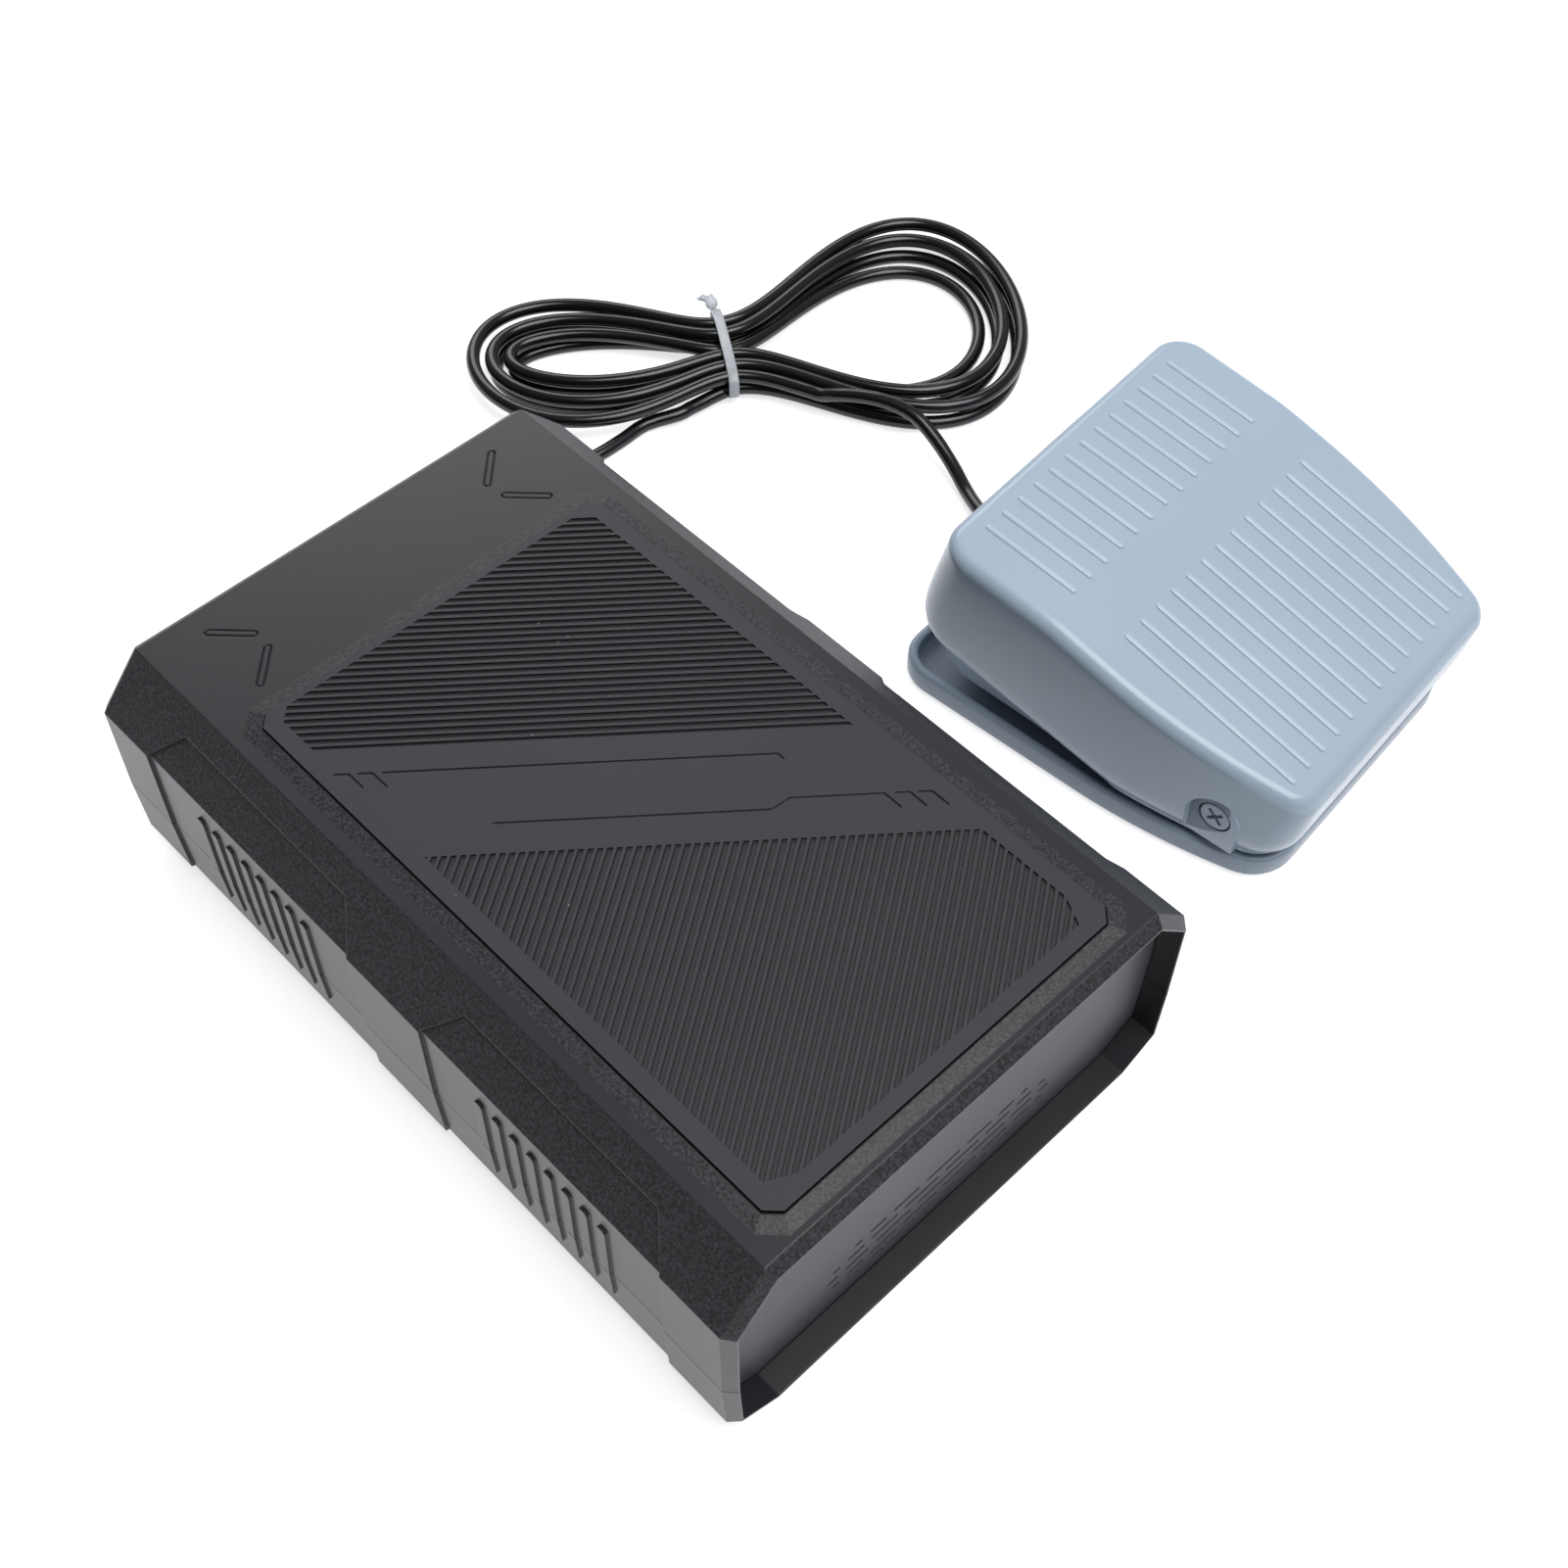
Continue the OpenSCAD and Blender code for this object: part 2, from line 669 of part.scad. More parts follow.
capacitor_dia = 16;
capacitor_high = 25;
capacitor_pitch = 19;
module board_capacitors() {
    color("#1f3a5f") place_box() for (i = [0:2])
        translate([board_len * 0.1 + i * capacitor_pitch, board_y + board_wid / 2, board_high + pcb_thick])
            rotate_extrude() polygon([[0, 0], [capacitor_dia / 2, 0], [capacitor_dia / 2, 1.6],
                [capacitor_dia / 2 - 0.6, 2.2], [capacitor_dia / 2, 2.8], [capacitor_dia / 2, capacitor_high],
                [capacitor_dia / 2 - 0.8, capacitor_high], [capacitor_dia / 2 - 1, capacitor_high - 0.5],
                [0, capacitor_high - 0.5]]);
}

sink_len = 46;
sink_fins = 7;
sink_fin = 1.6;
sink_pitch = (board_wid - 4 * sink_fin - 6) / (sink_fins - 1);
sink_high = 26;
module heat_sink() {
    color("silver") place_box() translate([board_x + board_len * 0.16, board_y + 3, board_high + pcb_thick]) {
        cube([sink_len, sink_pitch * (sink_fins - 1) + sink_fin, 4]);
        for (i = [0:sink_fins - 1]) translate([0, i * sink_pitch, 0]) cube([sink_len, sink_fin, sink_high]);
    }
}

terminal_len = 10;
terminal_wid = 12;
terminal_high = 10;
terminal_y = gland_across - terminal_wid / 2;
module terminal_block() {
    color("forestgreen") place_box() translate([board_x + 1, terminal_y, board_high + pcb_thick]) difference() {
        cube([terminal_len, terminal_wid, terminal_high]);
        for (i = [0, 1]) translate([-1, terminal_wid * (0.27 + 0.46 * i), 3])
            rotate([0, 90, 0]) cylinder(d = 2.6, h = 5, $fn = 24);
        for (i = [0, 1]) translate([terminal_len / 2, terminal_wid * (0.27 + 0.46 * i), terminal_high - 2])
            cylinder(d = 3.4, h = 3, $fn = 24);
    }
}

// Stub of the sheathed lead inside the box and its two cores
core_dia = 1.4;
module core(a, b) {
    d = b - a;
    translate(a) rotate([0, acos(d[2] / norm(d)), atan2(d[1], d[0])]) cylinder(d = core_dia, h = norm(d), $fn = 16);
}

stub_len = 6;
module box_leads() {
    stub_x = -plate_x + plate_thick + gland_rib + stub_len;
    color("#1b1b1d") place_box() {
        translate([-plate_x - gland_len, gland_across, gland_high]) rotate([0, 90, 0])
            cylinder(r = gland_bore, h = stub_x + plate_x + gland_len);
        for (i = [0, 1]) core([stub_x, gland_across + (i - 0.5) * 1.7, gland_high],
            [board_x + 1, terminal_y + terminal_wid * (0.27 + 0.46 * i), board_high + pcb_thick + 3]);
    }
}

// Power pack: cells in a tray on the floor
tray_high = 12;
module at_cells() {
    for (c = [0:cell_cols - 1]) for (r = [0:cell_rows - 1])
        translate([tray_x + tray_wall + 1 + r * (cell_len + 1), tray_y + tray_wall + cell_pitch * (c + 0.5),
            floor_top + tray_wall + cell_dia / 2]) children();
}

module battery_tray() {
    color("#e8e6df") place_box() translate([tray_x, tray_y, floor_top]) difference() {
        cube([tray_len, tray_wid, tray_high]);
        translate([tray_wall, tray_wall, tray_wall]) cube([tray_len - 2 * tray_wall, tray_wid - 2 * tray_wall, tray_high]);
    }
}

module battery_cells() {
    color("#3b6fb0") place_box() at_cells() rotate([0, 90, 0]) {
        cylinder(d = cell_dia, h = cell_len - 1.5);
        translate([0, 0, cell_len - 1.5]) cylinder(d = 5.6, h = 1.5);
    }
}

screw_slot = 1;
module pan_screw(dia, head, head_high, length) {
    difference() {
        union() {
            cylinder(d = head, h = head_high);
            translate([0, 0, head_high]) cylinder(d = dia, h = length);
        }
        for (a = [0, 90]) rotate([0, 0, a]) translate([-head / 3, -screw_slot / 2, -1])
            cube([head * 2 / 3, screw_slot, 1 + head_high / 2]);
    }
}

module shell_screws() {
    color("silver") place_box() at_pillars() translate([0, 0, foot_high + 0.2])
        pan_screw(shell_screw_dia, shell_screw_head, shell_screw_sink - 0.2, shell_screw_len - shell_screw_sink);
}

box_foot_dia = 10;
box_foot_seat = 0.8;
box_foot_x = half_len - 24;
box_foot_y = half_top - 16;
module at_box_feet() {
    for (x = [-box_foot_x, box_foot_x]) for (y = [-box_foot_y, box_foot_y]) translate([x, y, 0]) children();
}

module box_feet() {
    color("#111112") place_box() at_box_feet() cylinder(d = box_foot_dia, h = foot_high + box_foot_seat);
}

// Pedal: all its shapes are drawn from its own datum, X to its low front
pedal_cos = cos(pedal_turn);
pedal_sin = sin(pedal_turn);
bow_tan = tan(pedal_turn);
// Furthest Y of the turned, bowed cover: the middle of box and pedal follows
pedal_reach = pedal_across + pedal_sin * (bow_start + bow_radius * bow_tan)
    + pedal_cos * (rim_half - bow_radius * bow_tan * bow_tan / 2);
box_y = (box_reach - pedal_reach) / 2;
box_x = (plate_x + gland_len - foot_x) / 2;

module place_pedal() {
    translate([box_x + pedal_along, box_y + pedal_across, 0]) rotate([0, 0, pedal_turn]) children();
}

function bowed(half, x) = half - pow(max(0, x - bow_start), 2) / (2 * bow_radius);
arc_steps = 5;
mid_steps = 8;
// One side of a plan outline with round corners and a bowed flank, rear to front
function plan_side(x0, x1, half, r0, r1) =
    let (lean = atan((x1 - 0.75 * r1 - bow_start) / bow_radius),
         join = x1 - r1 * (1 - sin(lean)),
         y1 = bowed(half, join) - r1 * cos(lean))
    concat([for (i = [0:arc_steps]) let (a = 180 - 90 * i / arc_steps)
            [x0 + r0 + r0 * cos(a), half - r0 + r0 * sin(a)]],
        [for (i = [1:mid_steps]) let (x = x0 + r0 + (join - x0 - r0) * i / (mid_steps + 1)) [x, bowed(half, x)]],
        [for (i = [0:arc_steps]) let (a = (90 - lean) * (1 - i / arc_steps))
            [x1 - r1 + r1 * cos(a), y1 + r1 * sin(a)]]);
function plan_ring(x0, x1, half, r0, r1) = let (side = plan_side(x0, x1, half, r0, r1))
    concat(side, [for (i = [len(side) - 1:-1:0]) [side[i][0], -side[i][1]]]);
function raised(ring, height) = [for (p = ring) [p[0], p[1], height(p[0])]];

base_corner_rear = 10;
base_corner_front = 12;
base_bottom = 1;
well_floor = base_bottom + base_floor;
module base_plan(inset) {
    polygon(plan_ring(base_rear + inset, base_front - inset, base_half - inset,
        base_corner_rear - inset, base_corner_front - inset));
}

ear_thick = 3.5;
ear_out = 36.5;
ear_radius = 5.5;
spring_at = [14, -12];
spring_seat = 8;
spring_post_dia = spring_dia - spring_wire - 1;
switch_pad = 2;
clamp_at = [8, 8];
clamp_span = 16;
clamp_boss = 5;
clamp_boss_dia = 5;
clamp_screw_dia = 2.4;
module pedal_base() {
    color("#8497a8") place_pedal() difference() {
        union() {
            difference() {
                translate([0, 0, base_bottom]) linear_extrude(base_high - base_bottom) base_plan(0);
                translate([0, 0, well_floor]) linear_extrude(base_high) base_plan(base_ledge);
            }
            for (s = [-1, 1]) translate([hinge_along, s * (ear_out - ear_thick / 2), 0]) ear();
            translate([spring_at[0], spring_at[1], well_floor]) {
                cylinder(d = spring_dia + spring_wire + 3, h = spring_seat - well_floor);
                cylinder(d = spring_post_dia, h = spring_seat - well_floor + 4);
            }
            translate([switch_front - switch_len, -switch_wid / 2, well_floor]) cube([switch_len, switch_wid, switch_pad]);
            switch_bracket();
            for (s = [-1, 1]) translate([clamp_at[0], clamp_at[1] + s * clamp_span / 2, well_floor])
                cylinder(d = clamp_boss_dia, h = clamp_boss - well_floor);
        }
        for (s = [-1, 1]) translate([clamp_at[0], clamp_at[1] + s * clamp_span / 2, well_floor])
            cylinder(d = clamp_screw_dia + 2 * screw_play, h = clamp_boss);
        translate([base_rear - 1, clamp_at[1], pedal_gland_high]) rotate([0, 90, 0])
            cylinder(r = pedal_gland_neck + slip / 2, h = base_ledge + 2);
        translate([base_rear + base_ledge - 0.01, clamp_at[1], pedal_gland_high]) rotate([0, 90, 0])
            cylinder(r = pedal_gland_flange + slip, h = 1 + slip);
        translate([base_rear + base_ledge, clamp_at[1] - cord_radius - slip, pedal_gland_high - cord_radius - slip])
            cube([stub_front + 1 - base_rear - base_ledge, cord_dia + 2 * slip, base_high]);
        at_pedal_feet() cylinder(d = pedal_foot_dia + slip, h = base_bottom + pedal_foot_seat);
        switch_screw_bores(screw_play);
        translate([hinge_along, ear_out + 1, hinge_high]) rotate([90, 0, 0])
            cylinder(d = pin_dia + 2 * pin_grip, h = 2 * ear_out + 2);
    }
}

module ear() {
    translate([-ear_radius, -ear_thick / 2, well_floor]) cube([2 * ear_radius, ear_thick, hinge_high - well_floor]);
    translate([0, ear_thick / 2, hinge_high]) rotate([90, 0, 0]) cylinder(r = ear_radius, h = ear_thick);
}

// Two uprights beside the switch take its fixing screws
bracket_thick = 2.5;
bracket_high = 12;
switch_screw_in = 2.9;
switch_screw_span = 22.2;
switch_low = well_floor + switch_pad;
switch_screw_z = switch_low + 2.9;
module switch_bracket() {
    translate([switch_front - switch_len, switch_wid / 2 + slip, well_floor])
        cube([switch_len, bracket_thick, bracket_high - well_floor]);
}

module switch_screw_bores(play) {
    for (x = [0, switch_screw_span]) translate([switch_front - switch_screw_in - x, switch_wid / 2 + bracket_thick + slip + 1,
        switch_screw_z]) rotate([90, 0, 0])
        cylinder(d = switch_screw_dia + 2 * play, h = switch_wid + bracket_thick + 3);
}

// Cover: rings from its lower edge over the crease, the bulge and the rim
bend_start = 29;
bend_end = 36;
function tread(x) = x < bend_start ? tread_high + rear_fall * (bend_start - x)
    : let (d = min(x, bend_end) - bend_start)
      tread_high - rear_fall * d - (front_fall - rear_fall) * d * d / (2 * (bend_end - bend_start))
      - front_fall * max(0, x - bend_end);
cover_rear = -1.5;
cover_front = 93.5;
crease_rear = -2.4;
crease_end = 55;
crease_high = 21.6;
crease_half = rim_half - 2.4;
skirt_step = 0.6;
skirt_tuck = 3;
tuck_hold = 6;
bulge_rear = -5.5;
bulge_rise = 7;
rim_rear = -0.5;
rim_front = 98.3;
rim_corner_rear = 9;
rim_corner_front = 7;
fillet_steps = 5;
function skirt(x) = skirt_rear_high
    + (skirt_front_high - skirt_rear_high) * (x - cover_rear) / (cover_front - cover_rear);
function crease(x) = max(skirt(x) + skirt_step, crease_high
    + (skirt(crease_end) + skirt_step - crease_high) * (x - crease_rear) / (crease_end - crease_rear));
// Share of the tuck below the crease: full at the rear, none past the crease's end
function tuck(x) = max(0, 1 - pow(max(0, x - crease_rear) / (crease_end - crease_rear), tuck_hold));
function tucked(ring) = [for (p = ring) let (pull = skirt_tuck * tuck(p[0]) * min(1, abs(p[1]) / (rim_half / 2)))
    [p[0], p[1] - sign(p[1]) * pull]];

function cover_rings(inset) = concat(
    [raised(tucked(plan_ring(cover_rear + inset, cover_front - inset, crease_half - inset, 10 - inset, 10 - inset)),
        function(x) skirt(x) - (inset > 0 ? 3 : 0)),
     raised(plan_ring(crease_rear + inset, cover_front + 0.5 - inset, crease_half - inset, 10 - inset, 10 - inset),
        function(x) crease(x)),
     raised(plan_ring(bulge_rear + inset, cover_front + 3 - inset, rim_half - inset, 10 - inset, 9 - inset),
        function(x) crease(x) + bulge_rise)],
    [for (i = [0:fillet_steps]) let (a = 90 * i / fillet_steps, r = max(rim_radius - inset, 1), e = r * (1 - cos(a)))
        raised(plan_ring(rim_rear + inset + e, rim_front - inset - e, rim_half - inset - e,
                rim_corner_rear - inset - e, rim_corner_front - inset - e),
            function(x) tread(x) - inset - r * (1 - sin(a)))]);

ridge_round = (ridge_wid * ridge_wid / 4 + ridge_high * ridge_high) / (2 * ridge_high);
ridge_runs = [[6, bend_start + 1], [45.3, 91.2]];
module tread_ridge(x0, x1) {
    fall = atan2(tread(x0) - tread(x1), x1 - x0);
    sunk = ridge_round - ridge_high;
    length = norm([x1 - x0, tread(x1) - tread(x0)]);
    translate([x0, 0, tread(x0) - sunk]) rotate([0, 90 + fall, 0]) {
        cylinder(r = ridge_round, h = length, $fn = 24);
        sphere(ridge_round, $fn = 24);
        translate([0, 0, length]) sphere(ridge_round, $fn = 24);
    }
}

pad_out = rim_half - 4.2;
pad_in = ear_out + seat_gap;
pad_low = 10.2;
head_sink = 1.9;
module bearing_pad(thick) {
    translate([-pad_wid / 2, 0, pad_low - hinge_high]) cube([pad_wid, thick, hinge_high - pad_low]);
    rotate([-90, 0, 0]) cylinder(d = pad_wid, h = thick);
}

switch_top = switch_low + switch_high;
plunger_at = switch_front - 7;
plunger_wid = 3.2;
plunger_rise = 1.15;
plunger_run = 5;
lever_thick = 0.5;
lever_pivot_at = switch_front + 1.4;
lever_len = 27.4;
lever_wid = 4.4;
lever_tilt = 8.3;
lever_high = switch_top + 0.5 + lever_thick / 2;
lever_barrel = 1.6;
lever_pin = 1;
lug_thick = 1.2;
lug_in = lever_wid / 2 + 0.4;
lug_at = [-3, 1.8];
// Height of the lever's upper face at a distance from the datum
function lever_top(x) = lever_high + (lever_pivot_at - x) * tan(lever_tilt) + lever_thick / 2 / cos(lever_tilt);

striker_at = switch_front - 21;
striker_dia = 4;
striker_low = lever_top(striker_at - striker_dia / 2) + seat_gap;
cup_bore = spring_dia + spring_wire + 2.4;
cup_dia = cup_bore + 3;
cup_low = 27;
cup_deep = 4;
lead_notch = [8, 6.4, 13.4];
module pedal_cover() {
    color("#a9bccb") place_pedal() {
        difference() {
            union() {
                difference() {
                    skin(cover_rings(0));
                    skin(cover_rings(cover_wall));
                }
                for (s = [-1, 1]) translate([hinge_along, s > 0 ? pad_in : -pad_out, hinge_high])
                    bearing_pad(pad_out - pad_in);
                for (i = [0:ridges - 1]) for (run = ridge_runs)
                    translate([0, ridge_half * (2 * i / (ridges - 1) - 1), 0]) tread_ridge(run[0], run[1]);
                translate([striker_at, 0, striker_low]) cylinder(d = striker_dia, h = tread(striker_at) - striker_low - 1);
                translate([spring_at[0], spring_at[1], cup_low]) cylinder(d = cup_dia, h = tread(spring_at[0]) - cup_low - 1);
            }
            for (s = [-1, 1]) translate([hinge_along, s > 0 ? pad_out : -pad_out - 2, hinge_high]) bearing_pad(2);
            for (s = [-1, 1]) translate([hinge_along, s * pad_in, hinge_high]) rotate([-90 * s, 0, 0]) {
                translate([0, 0, -1]) cylinder(d = pin_dia + 2 * hinge_play, h = pad_out);
                translate([0, 0, pad_out - pad_in - head_sink]) cylinder(d = pin_head_dia + 0.8, h = head_sink + 2);
            }
            translate([spring_at[0], spring_at[1], cup_low - 1]) cylinder(d = cup_bore, h = cup_deep + 1);
            translate([bulge_rear, clamp_at[1] - lead_notch[1] / 2, 0]) cube(lead_notch);
        }
    }
}

pin_grip = 0.01;
pin_head_high = 1.5;
module hinge_pins() {
    shaft = pad_out - head_sink + seat_gap - (ear_out - ear_thick);
    color("#8c98a3") place_pedal() for (s = [-1, 1])
        translate([hinge_along, s * (ear_out - ear_thick), hinge_high]) rotate([-90 * s, 0, 0]) {
            cylinder(d = pin_dia, h = shaft);
            translate([0, 0, shaft]) difference() {
                cylinder(d = pin_head_dia, h = pin_head_high);
                for (a = [0, 90]) rotate([0, 0, a + 45]) translate([-pin_head_dia / 3, -0.5, pin_head_high - 0.6])
                    cube([pin_head_dia * 2 / 3, 1, 1]);
            }
        }
}

// Closed tube along a list of points, its sides turned about each bend
function cross_up(t) = unit([-t[1], t[0], 0]);
function tangent(p, i) = unit(p[min(i + 1, len(p) - 1)] - p[max(i - 1, 0)]);
module tube(path, radius, sides) {
    n = len(path);
    points = [for (i = [0:n - 1]) let (t = tangent(path, i), s = cross_up(t), u = cross(t, s))
        for (k = [0:sides - 1]) let (a = 360 * (k + 0.5) / sides) path[i] + radius * (s * cos(a) + u * sin(a))];
    walls = [for (i = [0:n - 2]) for (k = [0:sides - 1]) let (j = (k + 1) % sides)
        each [[i * sides + k, (i + 1) * sides + k, (i + 1) * sides + j],
              [i * sides + k, (i + 1) * sides + j, i * sides + j]]];
    polyhedron(points, concat(walls, [[for (k = [0:sides - 1]) k]],
        [[for (k = [sides - 1:-1:0]) (n - 1) * sides + k]]));
}

spring_low = spring_seat + spring_wire / 2 + 0.05;
spring_top = cup_low + cup_deep - spring_wire / 2 - 0.25;
spring_rings = 12;
module return_spring() {
    rise = spring_top - spring_low;
    color("silver") place_pedal() translate([spring_at[0], spring_at[1], 0])
        tube([for (i = [0:spring_turns * spring_rings]) let (t = i / (spring_turns * spring_rings),
            z = spring_low + rise * max(0, min(1, (t * spring_turns - 1) / (spring_turns - 2))))
            [cos(360 * t * spring_turns) * spring_dia / 2, sin(360 * t * spring_turns) * spring_dia / 2,
                z + (t * spring_turns < 1 ? 0 : 0)]], spring_wire / 2, 6);
}

module switch_body() {
    color("#1c1c1e") place_pedal() difference() {
        union() {
            translate([switch_front - switch_len, -switch_wid / 2, switch_low])
                cube([switch_len, switch_wid, switch_high]);
            for (s = [-1, 1]) translate([lever_pivot_at + lug_at[0], s * (lug_in + lug_thick / 2) - lug_thick / 2,
                switch_top - 4]) cube([lug_at[1] - lug_at[0], lug_thick, 4 + lever_high - switch_top + 1.3]);
        }
        translate([lever_pivot_at, switch_wid / 2, lever_high]) rotate([90, 0, 0])
            cylinder(d = lever_pin + 2 * hinge_play, h = switch_wid, $fn = 24);
        translate([plunger_at - plunger_wid / 2 - slip, -plunger_wid / 2 - slip, switch_top - plunger_run - 1.5])
            cube([plunger_wid + 2 * slip, plunger_wid + 2 * slip, plunger_run + 3]);
        switch_screw_bores(screw_play);
    }
}

module switch_plunger() {
    color("#b3402e") place_pedal()
        translate([plunger_at - plunger_wid / 2, -plunger_wid / 2, switch_top + plunger_rise - plunger_run])
        cube([plunger_wid, plunger_wid, plunger_run]);
}

// Blade with a rolled end, turning on its pin in the switch's two lugs
module switch_lever() {
    color("silver") place_pedal() translate([lever_pivot_at, 0, lever_high]) {
        rotate([0, lever_tilt, 0]) translate([-lever_len, -lever_wid / 2, -lever_thick / 2])
            cube([lever_len, lever_wid, lever_thick]);
        translate([0, lever_wid / 2, 0]) rotate([90, 0, 0]) cylinder(d = lever_barrel, h = lever_wid, $fn = 24);
        translate([0, lug_in + lug_thick, 0]) rotate([90, 0, 0])
            cylinder(d = lever_pin, h = 2 * (lug_in + lug_thick), $fn = 24);
    }
}

blade_len = 6.4;
module switch_terminals() {
    color("goldenrod") place_pedal() for (z = [3.5, 11])
        translate([switch_front - switch_len - blade_len, -2.4, switch_low + z]) cube([blade_len, 4.8, 0.8]);
}

module switch_screws() {
    head = 5;
    color("silver") place_pedal() for (x = [0, switch_screw_span])
        translate([switch_front - switch_screw_in - x, -switch_wid / 2 - 1.8, switch_screw_z]) rotate([-90, 0, 0])
            pan_screw(switch_screw_dia, head, 1.8, switch_wid + bracket_thick);
}

pedal_gland_high = 4.3;
pedal_gland_neck = 2.3;
pedal_gland_flange = 2.6;
pedal_gland_tail = 10;
module pedal_gland() {
    color("#1b1b1d") place_pedal() translate([base_rear, clamp_at[1], pedal_gland_high]) rotate([0, -90, 0])
        difference() {
            rotate_extrude() polygon([[0, -base_ledge - 1], [pedal_gland_flange, -base_ledge - 1], [pedal_gland_flange, -base_ledge],
                [pedal_gland_neck, -base_ledge], [pedal_gland_neck, 0], [3, 0], [3, 1.2],
                [2.8, 2], [2.2, pedal_gland_tail], [0, pedal_gland_tail]]);
            translate([0, 0, -base_ledge - 2]) cylinder(r = gland_bore, h = base_ledge + pedal_gland_tail + 3);
        }
}

stub_front = clamp_at[0] + 6;
module switch_leads() {
    color("#1b1b1d") place_pedal() {
        translate([base_rear - pedal_gland_tail, clamp_at[1], pedal_gland_high]) rotate([0, 90, 0])
            cylinder(r = gland_bore, h = stub_front - base_rear + pedal_gland_tail);
        for (i = [0, 1]) core([stub_front, clamp_at[1] - 1 + 1.8 * i, pedal_gland_high + 0.4],
            [switch_front - switch_len - blade_len + 0.4, 0.4 + i, switch_low + 3.5 - core_dia / 2 - 0.1 + i * 7.5]);
    }
}

clamp_wid = 5;
clamp_thick = 2;
clamp_low = pedal_gland_high + gland_bore;
module cord_clamp() {
    color("#d8d8d2") place_pedal() translate([clamp_at[0], clamp_at[1], 0]) difference() {
        union() {
            translate([-clamp_wid / 2, -clamp_span / 2 - clamp_wid / 2, clamp_low])
                cube([clamp_wid, clamp_span + clamp_wid, clamp_thick]);
            for (s = [-1, 1]) translate([0, s * clamp_span / 2, clamp_boss]) cylinder(d = clamp_wid, h = clamp_low - clamp_boss + 1);
        }
        for (s = [-1, 1]) translate([0, s * clamp_span / 2, clamp_boss - 1])
            cylinder(d = clamp_screw_dia + 2 * screw_play, h = clamp_thick + 5);
    }
}

clamp_screw_len = clamp_low + clamp_thick - well_floor - 0.5;
module clamp_screws() {
    color("silver") place_pedal() for (s = [-1, 1])
        translate([clamp_at[0], clamp_at[1] + s * clamp_span / 2, clamp_low + clamp_thick + 1.6]) rotate([180, 0, 0])
            pan_screw(clamp_screw_dia, 4.4, 1.6, clamp_screw_len);
}

pedal_foot_dia = 9;
pedal_foot_seat = 0.6;
module at_pedal_feet() {
    for (x = [base_rear + 12, base_front - 14]) for (s = [-1, 1])
        translate([x, s * (bowed(base_half, x) - 10), 0]) children();
}

module pedal_feet() {
    color("#111112") place_pedal() at_pedal_feet() cylinder(d = pedal_foot_dia, h = base_bottom + pedal_foot_seat);
}

// Lead: one length from the box through the hank to the pedal. Its routes are
// measured from the box's middle, and each ends in a straight diameter.
cord_radius = cord_dia / 2;
hank_at = [-122, 141];
hank_turn = 59;
hank_rings = 24;
hank_bend_far = 5;
hank_bend_near = 9;
waist_half = 3.1;
waist_lift = 1.4;
layer_step = cord_dia + 0.6;
lobe_step = 7;
lobe_swing = 3.5;
tip_step = 5;
lobe_sharp = 8;
hank_flare = 9;
// Loops are counted in turns t from the waist: they spiral in on the lower
// layer, climb along the waist run at half way, and spiral out on the upper
function hank_out(t) = abs(hank_loops / 2 - t) - 0.5 + hank_flare * max(0, -t, t - hank_loops);
function hank_climb(t) = let (x = max(0, min(1, (t - hank_loops / 2) * 3 + 0.5))) x * x * (3 - 2 * x);
function hank_point(t) =
    let (u = 90 - 360 * t, far = cos(u) > 0, k = hank_out(t),
         waist = waist_half + hank_waist_step * k,
         swing = lobe_swing * (hank_climb(t) - 0.5),
         lobe = (far ? hank_far_half : hank_near_half) + lobe_step * (k - hank_loops / 2 + 1) + swing,
         tip = (far ? hank_far : hank_near) + tip_step * (k - hank_loops / 2 + 1) + swing,
         third = (1.4 * lobe - waist) / 2,
         s = (tip - lobe_sharp) * cos(u) + lobe_sharp * cos(3 * u),
         n = (waist + third) * sin(u) + third * sin(3 * u) - (far ? hank_bend_far : hank_bend_near) * pow(cos(u), 2))
    [hank_at[0] + s * cos(hank_turn) + n * sin(hank_turn),
     hank_at[1] + s * sin(hank_turn) - n * cos(hank_turn),
     cord_radius + layer_step * hank_climb(t) + waist_lift * pow(sin(u), 6)];
hank_path = [for (i = [-1:hank_loops * hank_rings + 1]) hank_point(i / hank_rings)];
hank_start = hank_path[0];
hank_end = hank_path[len(hank_path) - 1];
function level(v) = unit([v[0], v[1], 0]);
start_way = level(hank_point(-0.9 / hank_rings) - hank_start);
end_way = level(hank_end - hank_point(hank_loops + 0.9 / hank_rings));
hank_route = concat([hank_start - cord_dia * start_way], hank_path, [hank_end + cord_dia * end_way]);

box_exit = [-plate_x - gland_len, gland_across, gland_high];
box_route = concat([box_exit, box_exit - [cord_dia, 0, 0]],
    [[-118.5, 37.5, 17.5], [-124, 42, 12.5], [-127.5, 49, 7.5], [-128, 57, 4], [-126.5, 65, 2.2], [-123, 74, 1.9],
     [-120.5, 83, 1.9], [-119, 92, 1.9], [-118.8, 101, 1.9], [-118.8, 109, 2.1]],
    [hank_start - 2 * cord_dia * start_way, hank_start - cord_dia * start_way]);

pedal_exit = [pedal_along, pedal_across, 0] + [pedal_cos * (base_rear - pedal_gland_tail) - pedal_sin * clamp_at[1],
    pedal_sin * (base_rear - pedal_gland_tail) + pedal_cos * clamp_at[1], pedal_gland_high];
pedal_route = concat([hank_end + cord_dia * end_way, hank_end + 2 * cord_dia * end_way],
    [[-86, 149.2, 9.4], [-80, 152.6, 10.6], [-73.5, 155.8, 10.7], [-66, 157.8, 9.8], [-58, 157.6, 7],
     [-50, 156, 4.2], [-42, 153, 2.6]],
    [pedal_exit - cord_dia * [pedal_cos, pedal_sin, 0], pedal_exit]);

